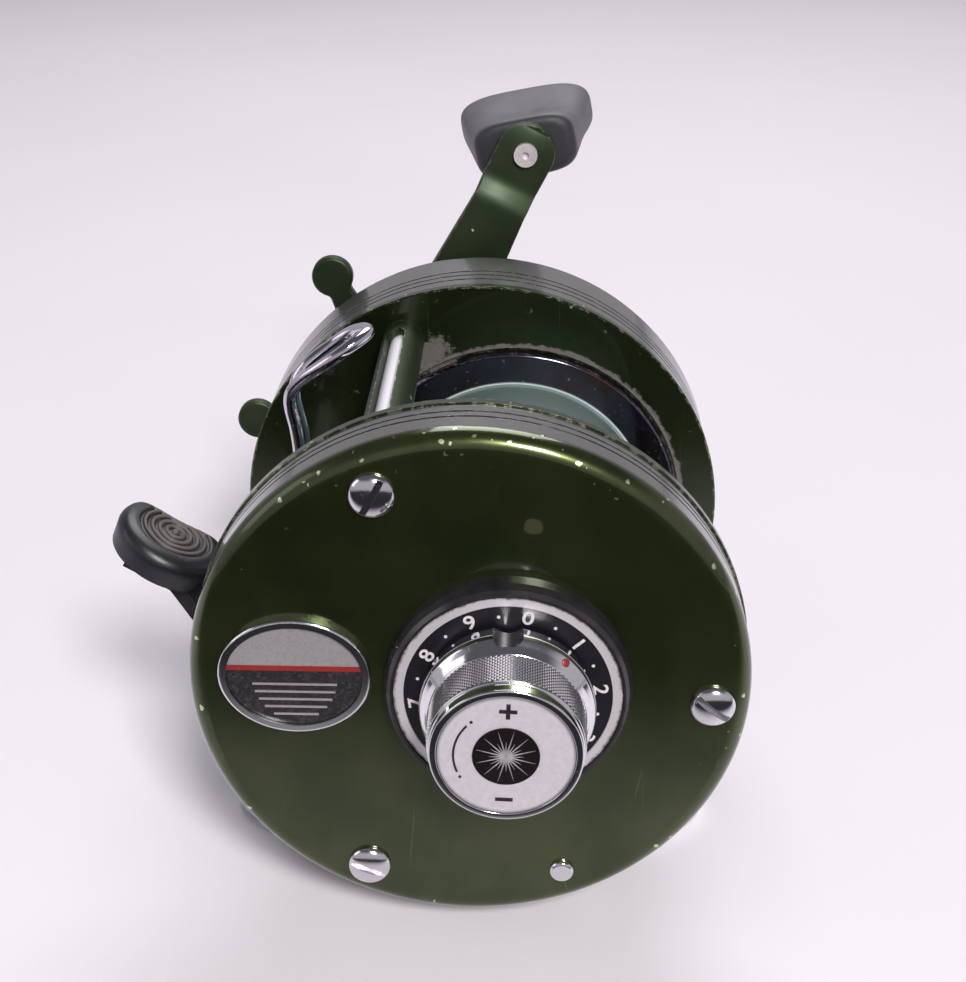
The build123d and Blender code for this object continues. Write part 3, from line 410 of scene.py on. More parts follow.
# Bright plating with fine marks; tint and dirt differ by piece
def makeChrome(
    name, tint=(0.80, 0.79, 0.82), roughness=0.09, dirt=0.35, grainDepth=0.004, dirtColour=(0.10, 0.09, 0.09),
    metallic=1.0, spool=None,
):
    material, tree, inputs = newMaterial(name, Metallic=metallic)
    place = inMillimetres(tree)
    rough = handled(tree, place, roughness, 0.14)
    scratch = marks(tree, hairlines, place, Scale=0.7, Amount=0.5)
    spots = fade(tree, noise(tree, place, 1.4, 6.0, 0.75), 0.58, 0.72)
    colour = mixColour(tree, calc(tree, "MULTIPLY", spots, dirt), tint, dirtColour)
    colour = mixColour(tree, calc(tree, "MULTIPLY", scratch, 0.4), colour, (0.45, 0.44, 0.45))
    rough = calc(tree, "ADD", rough, calc(tree, "MULTIPLY", spots, 0.2))
    normal = bump(tree, noise(tree, place, 0.7, 3.0), grainDepth)
    normal = bump(tree, calc(tree, "SUBTRACT", 1.0, scratch), 0.004, 0.5, normal)
    if spool:
        drumRadius = spool["drumRadius"]
        centred = inMillimetres(tree, spoolCentre)
        radius = useGroup(tree, turnedLines, {"Vector": centred, "Pitch": 0.2})["Radius"]
        # The flange is made a darker metal with patchy brown and pale motes.
        brownPatch = fade(tree, noise(tree, place, 0.2, 3.0, 0.6), 0.45, 0.8)
        flangeDark = mixColour(tree, brownPatch, spool["flangeDark"], spool["flangeBrown"])
        motes = marks(tree, coatingChips, place, Scale=1.25, Size=0.13, Coverage=0.5)
        flangeDark = mixColour(tree, calc(tree, "MULTIPLY", motes, 0.8), flangeDark, spool["mote"])
        # The drum's teal is a painted reflection, and the pale lip ring where the drum meets the flange is a
        # painted highlight.
        onLipHighlight = fade(tree, radius, drumRadius, drumRadius + 0.06)
        drumReflection = mixColour(tree, onLipHighlight, spool["drumReflection"], spool["lipHighlight"])
        colour = mixColour(tree, fade(tree, radius, drumRadius + 0.1, drumRadius + 0.4), drumReflection, flangeDark)
        nearRim = fade(tree, radius, *spool["dustFrom"])
        dust = useGroup(tree, clingingDust, {"Vector": place, "Place": nearRim, "Ragged": 1.0})
        colour = mixColour(tree, dust["Mask"], colour, greenFinish["dustColour"])
        rough = calc(tree, "MAXIMUM", rough, calc(tree, "MULTIPLY", dust["Mask"], 0.95))
        normal = bump(tree, dust["Height"], 0.12, 0.7, normal)
        # Less metal on the drum, so that its painted reflection colour shows.
        shine = fade(tree, radius, drumRadius + 0.1, drumRadius + 0.4, 0.35, 1.0)
        clean = calc(tree, "SUBTRACT", 1.0, dust["Mask"])
        tree.links.new(calc(tree, "MULTIPLY", shine, clean), inputs["Metallic"])
    tree.links.new(colour, inputs["Base Color"])
    tree.links.new(rough, inputs["Roughness"])
    tree.links.new(normal, inputs["Normal"])
    return material


# Plain metals, plastics and fibre of the working parts
def makeWorking(name, light, dark, metallic, roughness, grain=2.5, grainDepth=0.01, coat=0.0):
    material, tree, inputs = newMaterial(name, Metallic=metallic, Coat_Weight=coat)
    place = inMillimetres(tree)
    worn = marks(tree, edgeWear, place, Radius=0.15 * mm, Strength=3.0)
    tone = noise(tree, place, 0.6, 5.0, 0.65)
    colour = mixColour(tree, fade(tree, tone, 0.3, 0.7), light, dark)
    brighter = tuple(min(1.0, value * 1.35) for value in light)
    colour = mixColour(tree, worn, colour, brighter)
    rough = handled(tree, place, roughness, 0.2)
    tree.links.new(colour, inputs["Base Color"])
    tree.links.new(rough, inputs["Roughness"])
    tree.links.new(bump(tree, noise(tree, place, grain, 4.0), grainDepth), inputs["Normal"])
    return material


# Moulded grey plastic of the handle knobs: fine grain and handling marks; paler on the sides as painted sheen
# with some dust, darker on the end faces as painted shade, picked by which way each face looks
gripFinish = {"dark": (0.016, 0.015, 0.020), "dustAndSheen": (0.115, 0.107, 0.123), "roughness": 0.5, "grain": 5.5}


def makeGrip():
    look = gripFinish
    material, tree, inputs = newMaterial("gripPlastic", Specular_IOR_Level=0.45)
    place = inMillimetres(tree)
    facing = tree.nodes.new("ShaderNodeNewGeometry").outputs["Normal"]
    across = calc(tree, "ABSOLUTE", addNode(tree, "ShaderNodeSeparateXYZ", {0: facing}).outputs["Y"])
    cloud = noise(tree, place, 0.5, 5.0, 0.7)
    grain = noise(tree, place, look["grain"], 3.0, 0.6)
    worn = marks(tree, edgeWear, place, Radius=0.8 * mm, Strength=2.0, Breakup=0.3)
    # Faces that look sideways are paler and faces that look along the knob are darker: painted sheen with some
    # dust on the sides, painted shade on the ends.
    dustAndSheen = calc(tree, "MULTIPLY", fade(tree, across, 0.7, 0.25), fade(tree, cloud, 0.2, 0.6, 0.65, 1.0))
    colour = mixColour(tree, dustAndSheen, look["dark"], look["dustAndSheen"])
    colour = mixColour(tree, calc(tree, "MULTIPLY", grain, 0.3), colour, (0.05, 0.05, 0.055))
    colour = mixColour(tree, calc(tree, "MULTIPLY", worn, 0.35), colour, (0.2, 0.2, 0.21))
    tree.links.new(colour, inputs["Base Color"])
    rough = handled(tree, place, look["roughness"], 0.25)
    tree.links.new(rough, inputs["Roughness"])
    tree.links.new(bump(tree, grain, 0.05, 0.55), inputs["Normal"])
    return material


# Black rubber of the thumb pad, greyed in its rings
rubberFinish = {"rubber": (0.008, 0.008, 0.011), "ringDust": (0.115, 0.095, 0.085), "roughness": 0.36}


def makeRubber(faceCentre, faceNormal):
    look = rubberFinish
    material, tree, inputs = newMaterial("padRubber", Specular_IOR_Level=0.55)
    place = inMillimetres(tree, faceCentre)
    depth = addNode(
        tree, "ShaderNodeVectorMath", {0: place, 1: faceNormal}, operation="DOT_PRODUCT"
    ).outputs["Value"]
    level = addNode(tree, "ShaderNodeVectorMath", {0: faceNormal}, operation="SCALE")
    tree.links.new(depth, level.inputs["Scale"])
    inPlane = addNode(tree, "ShaderNodeVectorMath", {0: place, 1: level.outputs[0]}, operation="SUBTRACT")
    radius = addNode(
        tree, "ShaderNodeVectorMath", {0: inPlane.outputs[0]}, operation="LENGTH"
    ).outputs["Value"]
    onFace = calc(tree, "MULTIPLY", fade(tree, radius, 4.3, 3.8), fade(tree, depth, -0.7, -0.4))
    cloud = noise(tree, place, 1.3, 5.0, 0.7)
    crest = fade(tree, depth, -0.30, -0.08)
    patchy = fade(tree, cloud, 0.15, 0.55, 0.5, 1.0)
    dust = calc(tree, "MULTIPLY", calc(tree, "MULTIPLY", onFace, crest), patchy)
    colour = mixColour(tree, dust, look["rubber"], look["ringDust"])
    scuff = marks(tree, hairlines, place, Scale=0.9, Amount=0.55)
    colour = mixColour(tree, calc(tree, "MULTIPLY", scuff, 0.25), colour, (0.10, 0.10, 0.11))
    tree.links.new(colour, inputs["Base Color"])
    shine = handled(tree, place, look["roughness"], 0.22)
    tree.links.new(calc(tree, "MULTIPLY_ADD", dust, 0.35, shine), inputs["Roughness"])
    tree.links.new(bump(tree, noise(tree, place, 4.5, 4.0, 0.7), 0.03, 0.5), inputs["Normal"])
    return material


# Dial: black lacquer inside a silvered ring, dirt where the two meet the bezel
dialFinish = {"black": (0.006, 0.005, 0.008), "silver": (0.66, 0.63, 0.66), "ringRadius": 9.93}


def makeDialFace():
    look = dialFinish
    material, tree, inputs = newMaterial("dialFace", Coat_Weight=0.12, Coat_Roughness=0.2)
    place = inMillimetres(tree, spoolCentre)
    turning = useGroup(tree, turnedLines, {"Vector": place, "Pitch": 0.08})
    onRing = calc(tree, "GREATER_THAN", turning["Radius"], look["ringRadius"])
    cloud = noise(tree, place, 1.1, 6.0, 0.75)
    rim = fade(tree, calc(tree, "MULTIPLY_ADD", cloud, 0.9, turning["Radius"]), 11.05, 11.4)
    silver = mixColour(tree, rim, look["silver"], (0.10, 0.075, 0.06))
    flecks = marks(tree, coatingChips, place, Scale=1.1, Size=0.06, Coverage=0.12)
    black = mixColour(tree, flecks, look["black"], (0.32, 0.31, 0.32))
    tree.links.new(mixColour(tree, onRing, black, silver), inputs["Base Color"])
    tree.links.new(calc(tree, "MULTIPLY", onRing, 0.55), inputs["Metallic"])
    rough = handled(tree, place, 0.34, 0.15)
    tree.links.new(calc(tree, "MULTIPLY_ADD", onRing, 0.1, rough), inputs["Roughness"])
    tree.links.new(bump(tree, turning["Height"], 0.006), inputs["Normal"])
    return material


# Knob face: spun silver with a black centre disc
capFinish = {"silver": (0.60, 0.56, 0.60), "black": (0.008, 0.006, 0.007), "discRadius": 3.05}


def makeCapFace():
    look = capFinish
    material, tree, inputs = newMaterial("spunSilver", Coat_Weight=0.2, Coat_Roughness=0.15)
    place = inMillimetres(tree, spoolCentre)
    turning = useGroup(tree, turnedLines, {"Vector": place, "Pitch": 0.05})
    outside = calc(tree, "GREATER_THAN", turning["Radius"], look["discRadius"])
    cloud = noise(tree, place, 1.3, 6.0, 0.75)
    silver = mixColour(tree, fade(tree, cloud, 0.3, 0.75), look["silver"], (0.52, 0.48, 0.52))
    step = fade(tree, turning["Radius"], 6.2, 5.95)
    silver = mixColour(tree, calc(tree, "SUBTRACT", 1.0, step), silver, (0.30, 0.28, 0.30))
    tree.links.new(mixColour(tree, outside, look["black"], silver), inputs["Base Color"])
    tree.links.new(calc(tree, "MULTIPLY", outside, 0.3), inputs["Metallic"])
    rough = handled(tree, place, 0.16, 0.14)
    tree.links.new(calc(tree, "MULTIPLY_ADD", outside, 0.27, rough), inputs["Roughness"])
    tree.links.new(bump(tree, turning["Height"], 0.008), inputs["Normal"])
    return material


# Printed marks: thin paint with a ragged edge to its shine
def makePrint(name, colour, faded, roughness=0.45, metallic=0.0):
    material, tree, inputs = newMaterial(name, Metallic=metallic)
    place = inMillimetres(tree)
    thin = fade(tree, noise(tree, place, 3.5, 5.0, 0.7), 0.45, 0.8)
    tree.links.new(mixColour(tree, thin, colour, faded), inputs["Base Color"])
    rough = handled(tree, place, roughness, 0.2)
    tree.links.new(rough, inputs["Roughness"])
    tree.links.new(bump(tree, noise(tree, place, 9.0, 2.0), 0.01), inputs["Normal"])
    return material


# Lighter tones than the handle cover's same green: painted light, standing in for the brighter reflection on the
# palm cover's face.
palmGreen = makeGreen(
    "palmCoverGreen", plateCentre, chipZone=(23.6, 26.0), chipFaceY=palmFaceY, chipCover=0.9, wear=2.0,
    tones=((0.034, 0.052, 0.014), (0.060, 0.076, 0.025)), gloss=(0.55, 0.06, 0.23),
    flake=((-6.0, palmFaceY - plateCentre.y, 18.1), 0.85)
)
handleGreen = makeGreen(
    "handleCoverGreen", plateCentre, chipZone=(24.3, 26.6), chipFaceY=handleFaceY, chipCover=0.45, wear=2.0
)
greenSmall = makeGreen(
    "greenSmall", driveCentre, linePitch=0.5, lineDepth=0.003, chipCover=0.05, wear=3.0,
    tones=((0.018, 0.036, 0.014), (0.034, 0.052, 0.024)), gloss=(0.2, 0.35, 0.5),
)
flangeSpot = Vector((spoolCentre.x, high("right_frame_plate").y, spoolCentre.z))
tubeMiddle = middle("top_tube")
tubeSpot = Vector((tubeMiddle.x - 3.2, high("right_frame_plate").y, tubeMiddle.z - 2.4))
# Darker tones than the covers' same green: painted shade on the inner plates between the covers. The dust zones
# are real dust.
greenPlate = makeGreen(
    "greenPlate", plateCentre, linePitch=0.3, lineDepth=0.006, chipZone=(26.2, 27.2), chipCover=0.5, wear=8.0,
    tones=((0.017, 0.027, 0.008), (0.028, 0.038, 0.012)),
    dustZones=((flangeSpot, flangeRadius + 0.1, flangeRadius + 1.0, 0.5), (tubeSpot, -3.0, 2.6, 1.8)),
)
chrome = makeChrome("brightChrome")
screwChrome = makeChrome("screwChrome", tint=(0.74, 0.72, 0.76), roughness=0.13, dirt=0.5)
spoolChrome = makeChrome(
    "spoolChrome", tint=(0.58, 0.56, 0.60), roughness=0.10, dirt=0.8, dirtColour=(0.05, 0.03, 0.025),
    spool=spoolFinish,
)
# The rod in the tube's slot: near-white and barely metallic, a painted reflection of the pale cloth in place of
# bright plating.
rodPaintedReflection = makeChrome("rodPaintedReflection", tint=(0.88, 0.86, 0.92), roughness=0.28, dirt=0.15, metallic=0.15)
wireChrome = makeChrome("wireChrome", tint=(0.66, 0.62, 0.70), roughness=0.08, dirt=0.6)
knurlChrome = makeChrome("knurlChrome", tint=(0.60, 0.58, 0.60), roughness=0.16, dirt=0.8, grainDepth=0.01)
blackTrim = makeWorking("blackTrim", (0.010, 0.009, 0.013), (0.020, 0.017, 0.02), 0.0, 0.24, coat=0.2)
steel = makeWorking("turnedSteel", (0.52, 0.50, 0.50), (0.36, 0.34, 0.33), 1.0, 0.28)
brass = makeWorking("gearBrass", (0.72, 0.52, 0.22), (0.50, 0.33, 0.12), 1.0, 0.26)
darkSteel = makeWorking("blackenedSteel", (0.045, 0.040, 0.040), (0.022, 0.020, 0.020), 0.6, 0.42)
dullNickel = makeWorking(
    "dullNickel", (0.78, 0.72, 0.72), (0.50, 0.45, 0.45), 0.45, 0.40, grain=1.6, grainDepth=0.05
)
nylon = makeWorking("whiteNylon", (0.74, 0.72, 0.66), (0.62, 0.59, 0.52), 0.0, 0.42)
fibre = makeWorking(
    "redFibre", (0.32, 0.06, 0.035), (0.20, 0.035, 0.02), 0.0, 0.75, grain=6.0, grainDepth=0.04
)
gripPlastic = makeGrip()
dialFace = makeDialFace()
spunSilver = makeCapFace()
whitePrint = makePrint("whitePrint", (0.60, 0.57, 0.60), (0.30, 0.28, 0.30))
blackPrint = makePrint("blackPrint", (0.012, 0.010, 0.012), (0.07, 0.06, 0.07), 0.35)
redPrint = makePrint("redPrint", (0.22, 0.012, 0.010), (0.14, 0.01, 0.01), 0.35)
silverPrint = makePrint("silverPrint", (0.58, 0.55, 0.58), (0.40, 0.38, 0.40), 0.3, 0.7)
print("materials made")


# Mesh helpers
def finishMesh(name, bm, material, sharpAngle=32):
    bmesh.ops.remove_doubles(bm, verts=bm.verts, dist=0.0004)
    bmesh.ops.dissolve_degenerate(bm, dist=0.0002, edges=bm.edges)
    bmesh.ops.recalc_face_normals(bm, faces=bm.faces)
    mesh = bpy.data.meshes.new(name)
    bm.to_mesh(mesh)
    bm.free()
    return placeMesh(name, mesh, material, sharpAngle)


def placeMesh(name, mesh, material, sharpAngle=32):
    mesh.transform(Matrix.Scale(mm, 4))
    markSharp(mesh, sharpAngle)
    mesh.materials.clear()
    mesh.materials.append(material)
    piece = bpy.data.objects.new(name, mesh)
    scene.collection.objects.link(piece)
    return piece


def markSharp(mesh, sharpAngle):
    bm = bmesh.new()
    bm.from_mesh(mesh)
    for face in bm.faces:
        face.smooth = True
    for edge in bm.edges:
        if len(edge.link_faces) == 2:
            edge.smooth = edge.calc_face_angle(0.0) < math.radians(sharpAngle)
    bm.to_mesh(mesh)
    bm.free()


def applied(piece, name, material, sharpAngle=32):
    graph = bpy.context.evaluated_depsgraph_get()
    mesh = bpy.data.meshes.new_from_object(
        piece.evaluated_get(graph), preserve_all_data_layers=True, depsgraph=graph
    )
    mesh.name = name
    markSharp(mesh, sharpAngle)
    mesh.materials.clear()
    mesh.materials.append(material)
    result = bpy.data.objects.new(name, mesh)
    scene.collection.objects.link(result)
    return result


def discard(*pieces):
    for piece in pieces:
        bpy.data.objects.remove(piece)


def softened(points, radius, steps=4):
    result = []
    for index, (y, r) in enumerate(points):
        here = Vector((y, r))
        before = Vector(points[index - 1]) - here
        after = Vector(points[(index + 1) % len(points)]) - here
        if r < 1e-6 or before.length < 1e-6 or after.length < 1e-6:
            result.append((y, r))
            continue
        reach = min(radius, before.length * 0.45, after.length * 0.45)
        start, end = here + before.normalized() * reach, here + after.normalized() * reach
        for step in range(steps + 1):
            t = step / steps
            point = start * (1 - t) ** 2 + here * 2 * t * (1 - t) + end * t ** 2
            result.append((point.x, point.y))
    return result


def lathe(bm, outline, centre, steps=144):
    rings = []
    for turn in range(steps):
        angle = 2 * math.pi * turn / steps
        rings.append([
            bm.verts.new((centre.x + r * math.cos(angle), y, centre.z + r * math.sin(angle)))
            for y, r in outline
        ])
    for here, beyond in zip(rings, rings[1:] + rings[:1]):
        for index in range(len(outline)):
            after = (index + 1) % len(outline)
            if outline[index][1] < 1e-6 and outline[after][1] < 1e-6:
                continue
            bm.faces.new((here[index], here[after], beyond[after], beyond[index]))


# Skin over sections in a row, both ends closed
def skin(bm, sections):
    loops = [[bm.verts.new(point) for point in section] for section in sections]
    for here, beyond in zip(loops, loops[1:]):
        for index in range(len(here)):
            after = (index + 1) % len(here)
            bm.faces.new((here[index], here[after], beyond[after], beyond[index]))
    for loop in (loops[0], loops[-1]):
        centre = bm.verts.new(sum((v.co for v in loop), Vector()) / len(loop))
        for index in range(len(loop)):
            bm.faces.new((loop[index], loop[(index + 1) % len(loop)], centre))


# Geometry node helpers
def newGeometryTree(name, inputs):
    tree = bpy.data.node_groups.new(name, "GeometryNodeTree")
    tree.interface.new_socket("Geometry", in_out="INPUT", socket_type="NodeSocketGeometry")
    for label, kind, value in inputs:
        socket = tree.interface.new_socket(label, in_out="INPUT", socket_type=kind)
        if value is not None:
            socket.default_value = value
    tree.interface.new_socket("Geometry", in_out="OUTPUT", socket_type="NodeSocketGeometry")
    return tree, tree.nodes.new("NodeGroupInput").outputs, tree.nodes.new("NodeGroupOutput").inputs


def runTree(tree, name, material, values, base=None, sharpAngle=32):
    if base is None:
        base = bpy.data.meshes.new(name + "Start")
    carrier = bpy.data.objects.new(name + "Carrier", base)
    scene.collection.objects.link(carrier)
    modifier = carrier.modifiers.new("build", "NODES")
    modifier.node_group = tree
    for item in tree.interface.items_tree:
        if item.in_out == "INPUT" and item.name in values:
            modifier[item.identifier] = values[item.name]
    bpy.context.view_layer.update()
    piece = applied(carrier, name, material, sharpAngle)
    discard(carrier)
    return piece


def endTree(tree, geometry, material, result):
    solid = addNode(tree, "GeometryNodeRealizeInstances", {"Geometry": geometry}).outputs[0]
    painted = addNode(tree, "GeometryNodeSetMaterial", {"Geometry": solid, "Material": material}).outputs[0]
    tree.links.new(painted, result["Geometry"])


# Points around the spool axis, spread over columns and staggered rows
def axisPoints(tree, count, rows, radius, startY, rowStep, turn=0.0):
    total = calc(tree, "MULTIPLY", count, rows)
    cloud = addNode(tree, "GeometryNodePoints", {"Count": total}).outputs[0]
    index = tree.nodes.new("GeometryNodeInputIndex").outputs[0]
    row = calc(tree, "FLOOR", calc(tree, "DIVIDE", index, count))
    column = calc(tree, "SUBTRACT", index, calc(tree, "MULTIPLY", row, count))
    stagger = calc(tree, "MULTIPLY", calc(tree, "MODULO", row, 2.0), 0.5)
    share = calc(tree, "DIVIDE", calc(tree, "ADD", column, stagger), count)
    angle = calc(tree, "MULTIPLY", share, 2 * math.pi)
    angle = calc(tree, "ADD", angle, turn)
    cosine, sine = calc(tree, "COSINE", angle), calc(tree, "SINE", angle)
    outward = addNode(tree, "ShaderNodeCombineXYZ", {"X": cosine, "Z": sine}).outputs[0]
    away = addNode(tree, "ShaderNodeVectorMath", {0: outward, "Scale": radius}, operation="SCALE").outputs[0]
    height = calc(tree, "ADD", startY, calc(tree, "MULTIPLY", row, rowStep))
    axis = {"X": spoolCentre.x * mm, "Y": height, "Z": spoolCentre.z * mm}
    lift = addNode(tree, "ShaderNodeCombineXYZ", axis).outputs[0]
    spot = addNode(tree, "ShaderNodeVectorMath", {0: away, 1: lift}, operation="ADD").outputs[0]
    placed = addNode(tree, "GeometryNodeSetPosition", {"Geometry": cloud, "Position": spot}).outputs[0]
    return placed, outward, index


# Diamond knurl: one small pyramid for each crossing
knurlBand = {"radius": 7.16, "depth": 0.17, "columns": 96, "rows": 17, "startY": 6.35, "pitch": 0.478}


def makeKnurl():
    tree, given, result = newGeometryTree("diamondKnurl", [
        ("Columns", "NodeSocketInt", 96), ("Rows", "NodeSocketInt", 17), ("Radius", floatKind, 0.007),
        ("Start", floatKind, 0.03), ("Row Step", floatKind, 0.00025), ("Half Width", floatKind, 0.00024),
        ("Depth", floatKind, 0.00016),
    ])
    spots, outward, _ = axisPoints(
        tree, given["Columns"], given["Rows"], given["Radius"], given["Start"], given["Row Step"]
    )
    tooth = addNode(tree, "GeometryNodeMeshCone", {
        "Vertices": 4, "Radius Top": 0.00003, "Radius Bottom": given["Half Width"], "Depth": given["Depth"],
    }, fill_type="NONE").outputs["Mesh"]
    aim = addNode(tree, "FunctionNodeAlignRotationToVector", {"Vector": outward}, axis="Z").outputs[0]
    laid = addNode(tree, "GeometryNodeInstanceOnPoints", {
        "Points": spots, "Instance": tooth, "Rotation": aim,
    }).outputs[0]
    endTree(tree, laid, knurlChrome, result)
    values = knurlBand
    piece = runTree(tree, "knurlTeeth", knurlChrome, {
        "Columns": values["columns"], "Rows": values["rows"], "Radius": values["radius"] * mm,
        "Start": (palmFaceY + values["startY"]) * mm, "Row Step": values["pitch"] / 2 * mm,
        "Half Width": values["pitch"] / 2 * 1.02 * mm, "Depth": values["depth"] * mm,
    }, sharpAngle=20)
    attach(piece, "cast_control")


# Cast-control knob body with its skirt, knurl seat, bright rim and thumb notch
castKnob = {
    "bore": 6.1, "skirt": 8.35, "seat": 7.16, "rim": 7.0, "notchRadius": 1.7, "notchUp": 9.1, "notchTop": 5.6,
}


def makeCastKnob():
    values = castKnob
    backY = low("cast_control_knob").y - palmFaceY
    frontY = knobFrontY - palmFaceY
    outline = [
        (backY, values["bore"]), (backY, 8.05), (backY + 0.5, 8.25), (4.5, values["skirt"]), (5.05, 8.2),
        (5.5, 7.75), (5.95, 7.4), (6.15, 7.3), (6.25, values["seat"]), (10.32, values["seat"]),
        (10.42, 7.26), (10.62, 7.24),
        (10.75, 7.02), (frontY - 0.12, values["rim"]), (frontY, 6.85), (frontY, 6.32), (frontY - 0.6, 6.28),
        (frontY - 0.6, 0.0), (8.05, 0.0), (8.05, 2.6), (7.55, 2.6), (7.55, values["bore"]),
    ]
    bm = bmesh.new()
    lathe(bm, [(palmFaceY + y, r) for y, r in softened(outline, 0.12)], spoolCentre, 192)
    body = finishMesh("knobBlank", bm, chrome)
    cutter = bmesh.new()
    notchCentre = spoolCentre + Vector((0, 0, values["notchUp"]))
    start, end, radius = palmFaceY + backY - 1, palmFaceY + values["notchTop"], values["notchRadius"]
    lathe(cutter, [(start, 0), (start, radius), (end, radius), (end, 0)], notchCentre, 48)
    tool = finishMesh("notchTool", cutter, chrome)
    cut = body.modifiers.new("notch", "BOOLEAN")
    cut.object = tool
    cut.solver = "EXACT"
    bpy.context.view_layer.update()
    piece = applied(body, "castKnobBody", chrome)
    discard(body, tool)
    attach(piece, "cast_control")
    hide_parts("cast_control_knob")


# Numerals and index dots on the dial
dialMarks = {"radius": 8.75, "size": 2.0, "thick": 0.05, "turnDegrees": 12.0, "dotRadius": 0.16}


def viewTurn(degrees):
    # Local x runs to the viewer's right on the palm side, y up and z towards the viewer
    angle = math.radians(degrees)
    right = Vector((-math.cos(angle), 0, -math.sin(angle)))
    up = Vector((-math.sin(angle), 0, math.cos(angle)))
    return right, up


def makeNumerals():
    values = dialMarks
    bm = bmesh.new()
    for digit in range(10):
        curve = bpy.data.curves.new("numeral", "FONT")
        curve.body = str(digit)
        curve.size = values["size"]
        curve.align_x = "CENTER"
        curve.align_y = "CENTER"
        curve.extrude = values["thick"] / 2
        curve.offset = 0.03
        curve.resolution_u = 6
        sign = bpy.data.objects.new("numeral", curve)
        scene.collection.objects.link(sign)
        bpy.context.view_layer.update()
        graph = bpy.context.evaluated_depsgraph_get()
        mesh = bpy.data.meshes.new_from_object(sign.evaluated_get(graph))
        discard(sign)
        degrees = values["turnDegrees"] + 36 * digit
        right, up = viewTurn(degrees)
        centre = Vector((spoolCentre.x, dialFaceY - 0.15, spoolCentre.z)) + up * values["radius"]
        turn = Matrix((right * 1.15, up, Vector((0, 1, 0)))).transposed().to_4x4()
        mesh.transform(Matrix.Translation(centre) @ turn)
        bm.from_mesh(mesh)
    piece = finishMesh("dialNumerals", bm, whitePrint)
    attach(piece, "frame")


def makeDots():
    tree, given, result = newGeometryTree("dialDots", [
        ("Count", "NodeSocketInt", 10), ("Ring Radius", floatKind, 0.0088), ("Height", floatKind, 0.025),
        ("Turn", floatKind, 0.0), ("Dot Radius", floatKind, 0.00016),
    ])
    spots, _, _ = axisPoints(
        tree, given["Count"], 1, given["Ring Radius"], given["Height"], 0.0, given["Turn"]
    )
    dot = addNode(tree, "GeometryNodeMeshCylinder", {
        "Vertices": 16, "Radius": given["Dot Radius"], "Depth": 0.00006,
    }).outputs["Mesh"]
    aim = addNode(tree, "FunctionNodeAlignRotationToVector", {"Vector": (0, 1, 0)}, axis="Z").outputs[0]
    laid = addNode(tree, "GeometryNodeInstanceOnPoints", {
        "Points": spots, "Instance": dot, "Rotation": aim,
    }).outputs[0]
    endTree(tree, laid, whitePrint, result)
    values = dialMarks
    half = math.radians(90 + values["turnDegrees"] + 18)
    piece = runTree(tree, "dialDots", whitePrint, {
        "Count": 10, "Ring Radius": values["radius"] * mm, "Height": (dialFaceY - 0.14) * mm, "Turn": half,
        "Dot Radius": values["dotRadius"] * mm,
    })
    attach(piece, "frame")


# Radial burst on the knob's black centre: thin silver needles, long and short in turn
capBurst = {"needles": 24, "reach": 1.55, "ring": 0.05, "width": 0.095}


def makeBurst():
    tree, given, result = newGeometryTree("needleBurst", [
        ("Needles", "NodeSocketInt", 20), ("Reach", floatKind, 0.0024), ("Ring", floatKind, 0.0013),
        ("Height", floatKind, 0.0354), ("Width", floatKind, 0.0001),
    ])
    spots, outward, index = axisPoints(tree, given["Needles"], 1, given["Ring"], given["Height"], 0.0)
    needle = addNode(tree, "GeometryNodeMeshCone", {
        "Vertices": 4, "Radius Top": 0.000008, "Radius Bottom": given["Width"], "Depth": given["Reach"],
    }).outputs["Mesh"]
    flat = addNode(tree, "GeometryNodeTransform", {"Geometry": needle, "Scale": (1.0, 0.35, 1.0)}).outputs[0]
    aim = addNode(tree, "FunctionNodeAlignRotationToVector", {"Vector": outward}, axis="Z").outputs[0]
    longer = calc(tree, "MULTIPLY_ADD", calc(tree, "MODULO", index, 2.0), 0.75, 1.0)
    size = addNode(tree, "ShaderNodeCombineXYZ", {"X": 1.0, "Y": 1.0, "Z": longer}).outputs[0]
    laid = addNode(tree, "GeometryNodeInstanceOnPoints", {
        "Points": spots, "Instance": flat, "Rotation": aim, "Scale": size,
    }).outputs[0]
    endTree(tree, laid, silverPrint, result)
    values = capBurst
    piece = runTree(tree, "capBurst", silverPrint, {
        "Needles": values["needles"], "Reach": values["reach"] * mm, "Ring": values["ring"] * mm,
        "Height": (capFaceY + 0.005) * mm, "Width": values["width"] * mm,
    })
    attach(piece, "cast_control")


# Black marks on the knob face: an arc with end dots, a plus and a minus
capMarks = {"radius": 4.75, "wide": 0.2, "thick": 0.04, "arcFrom": -112.0, "arcTo": -48.0}


def flatMark(bm, corners, faceY, thick):
    front = [bm.verts.new((x, faceY + thick, z)) for x, z in corners]
    back = [bm.verts.new((x, faceY - 0.02, z)) for x, z in corners]
    bm.faces.new(front)
    bm.faces.new(back[::-1])
    for index in range(len(corners)):
        after = (index + 1) % len(corners)
        bm.faces.new((front[index], front[after], back[after], back[index]))


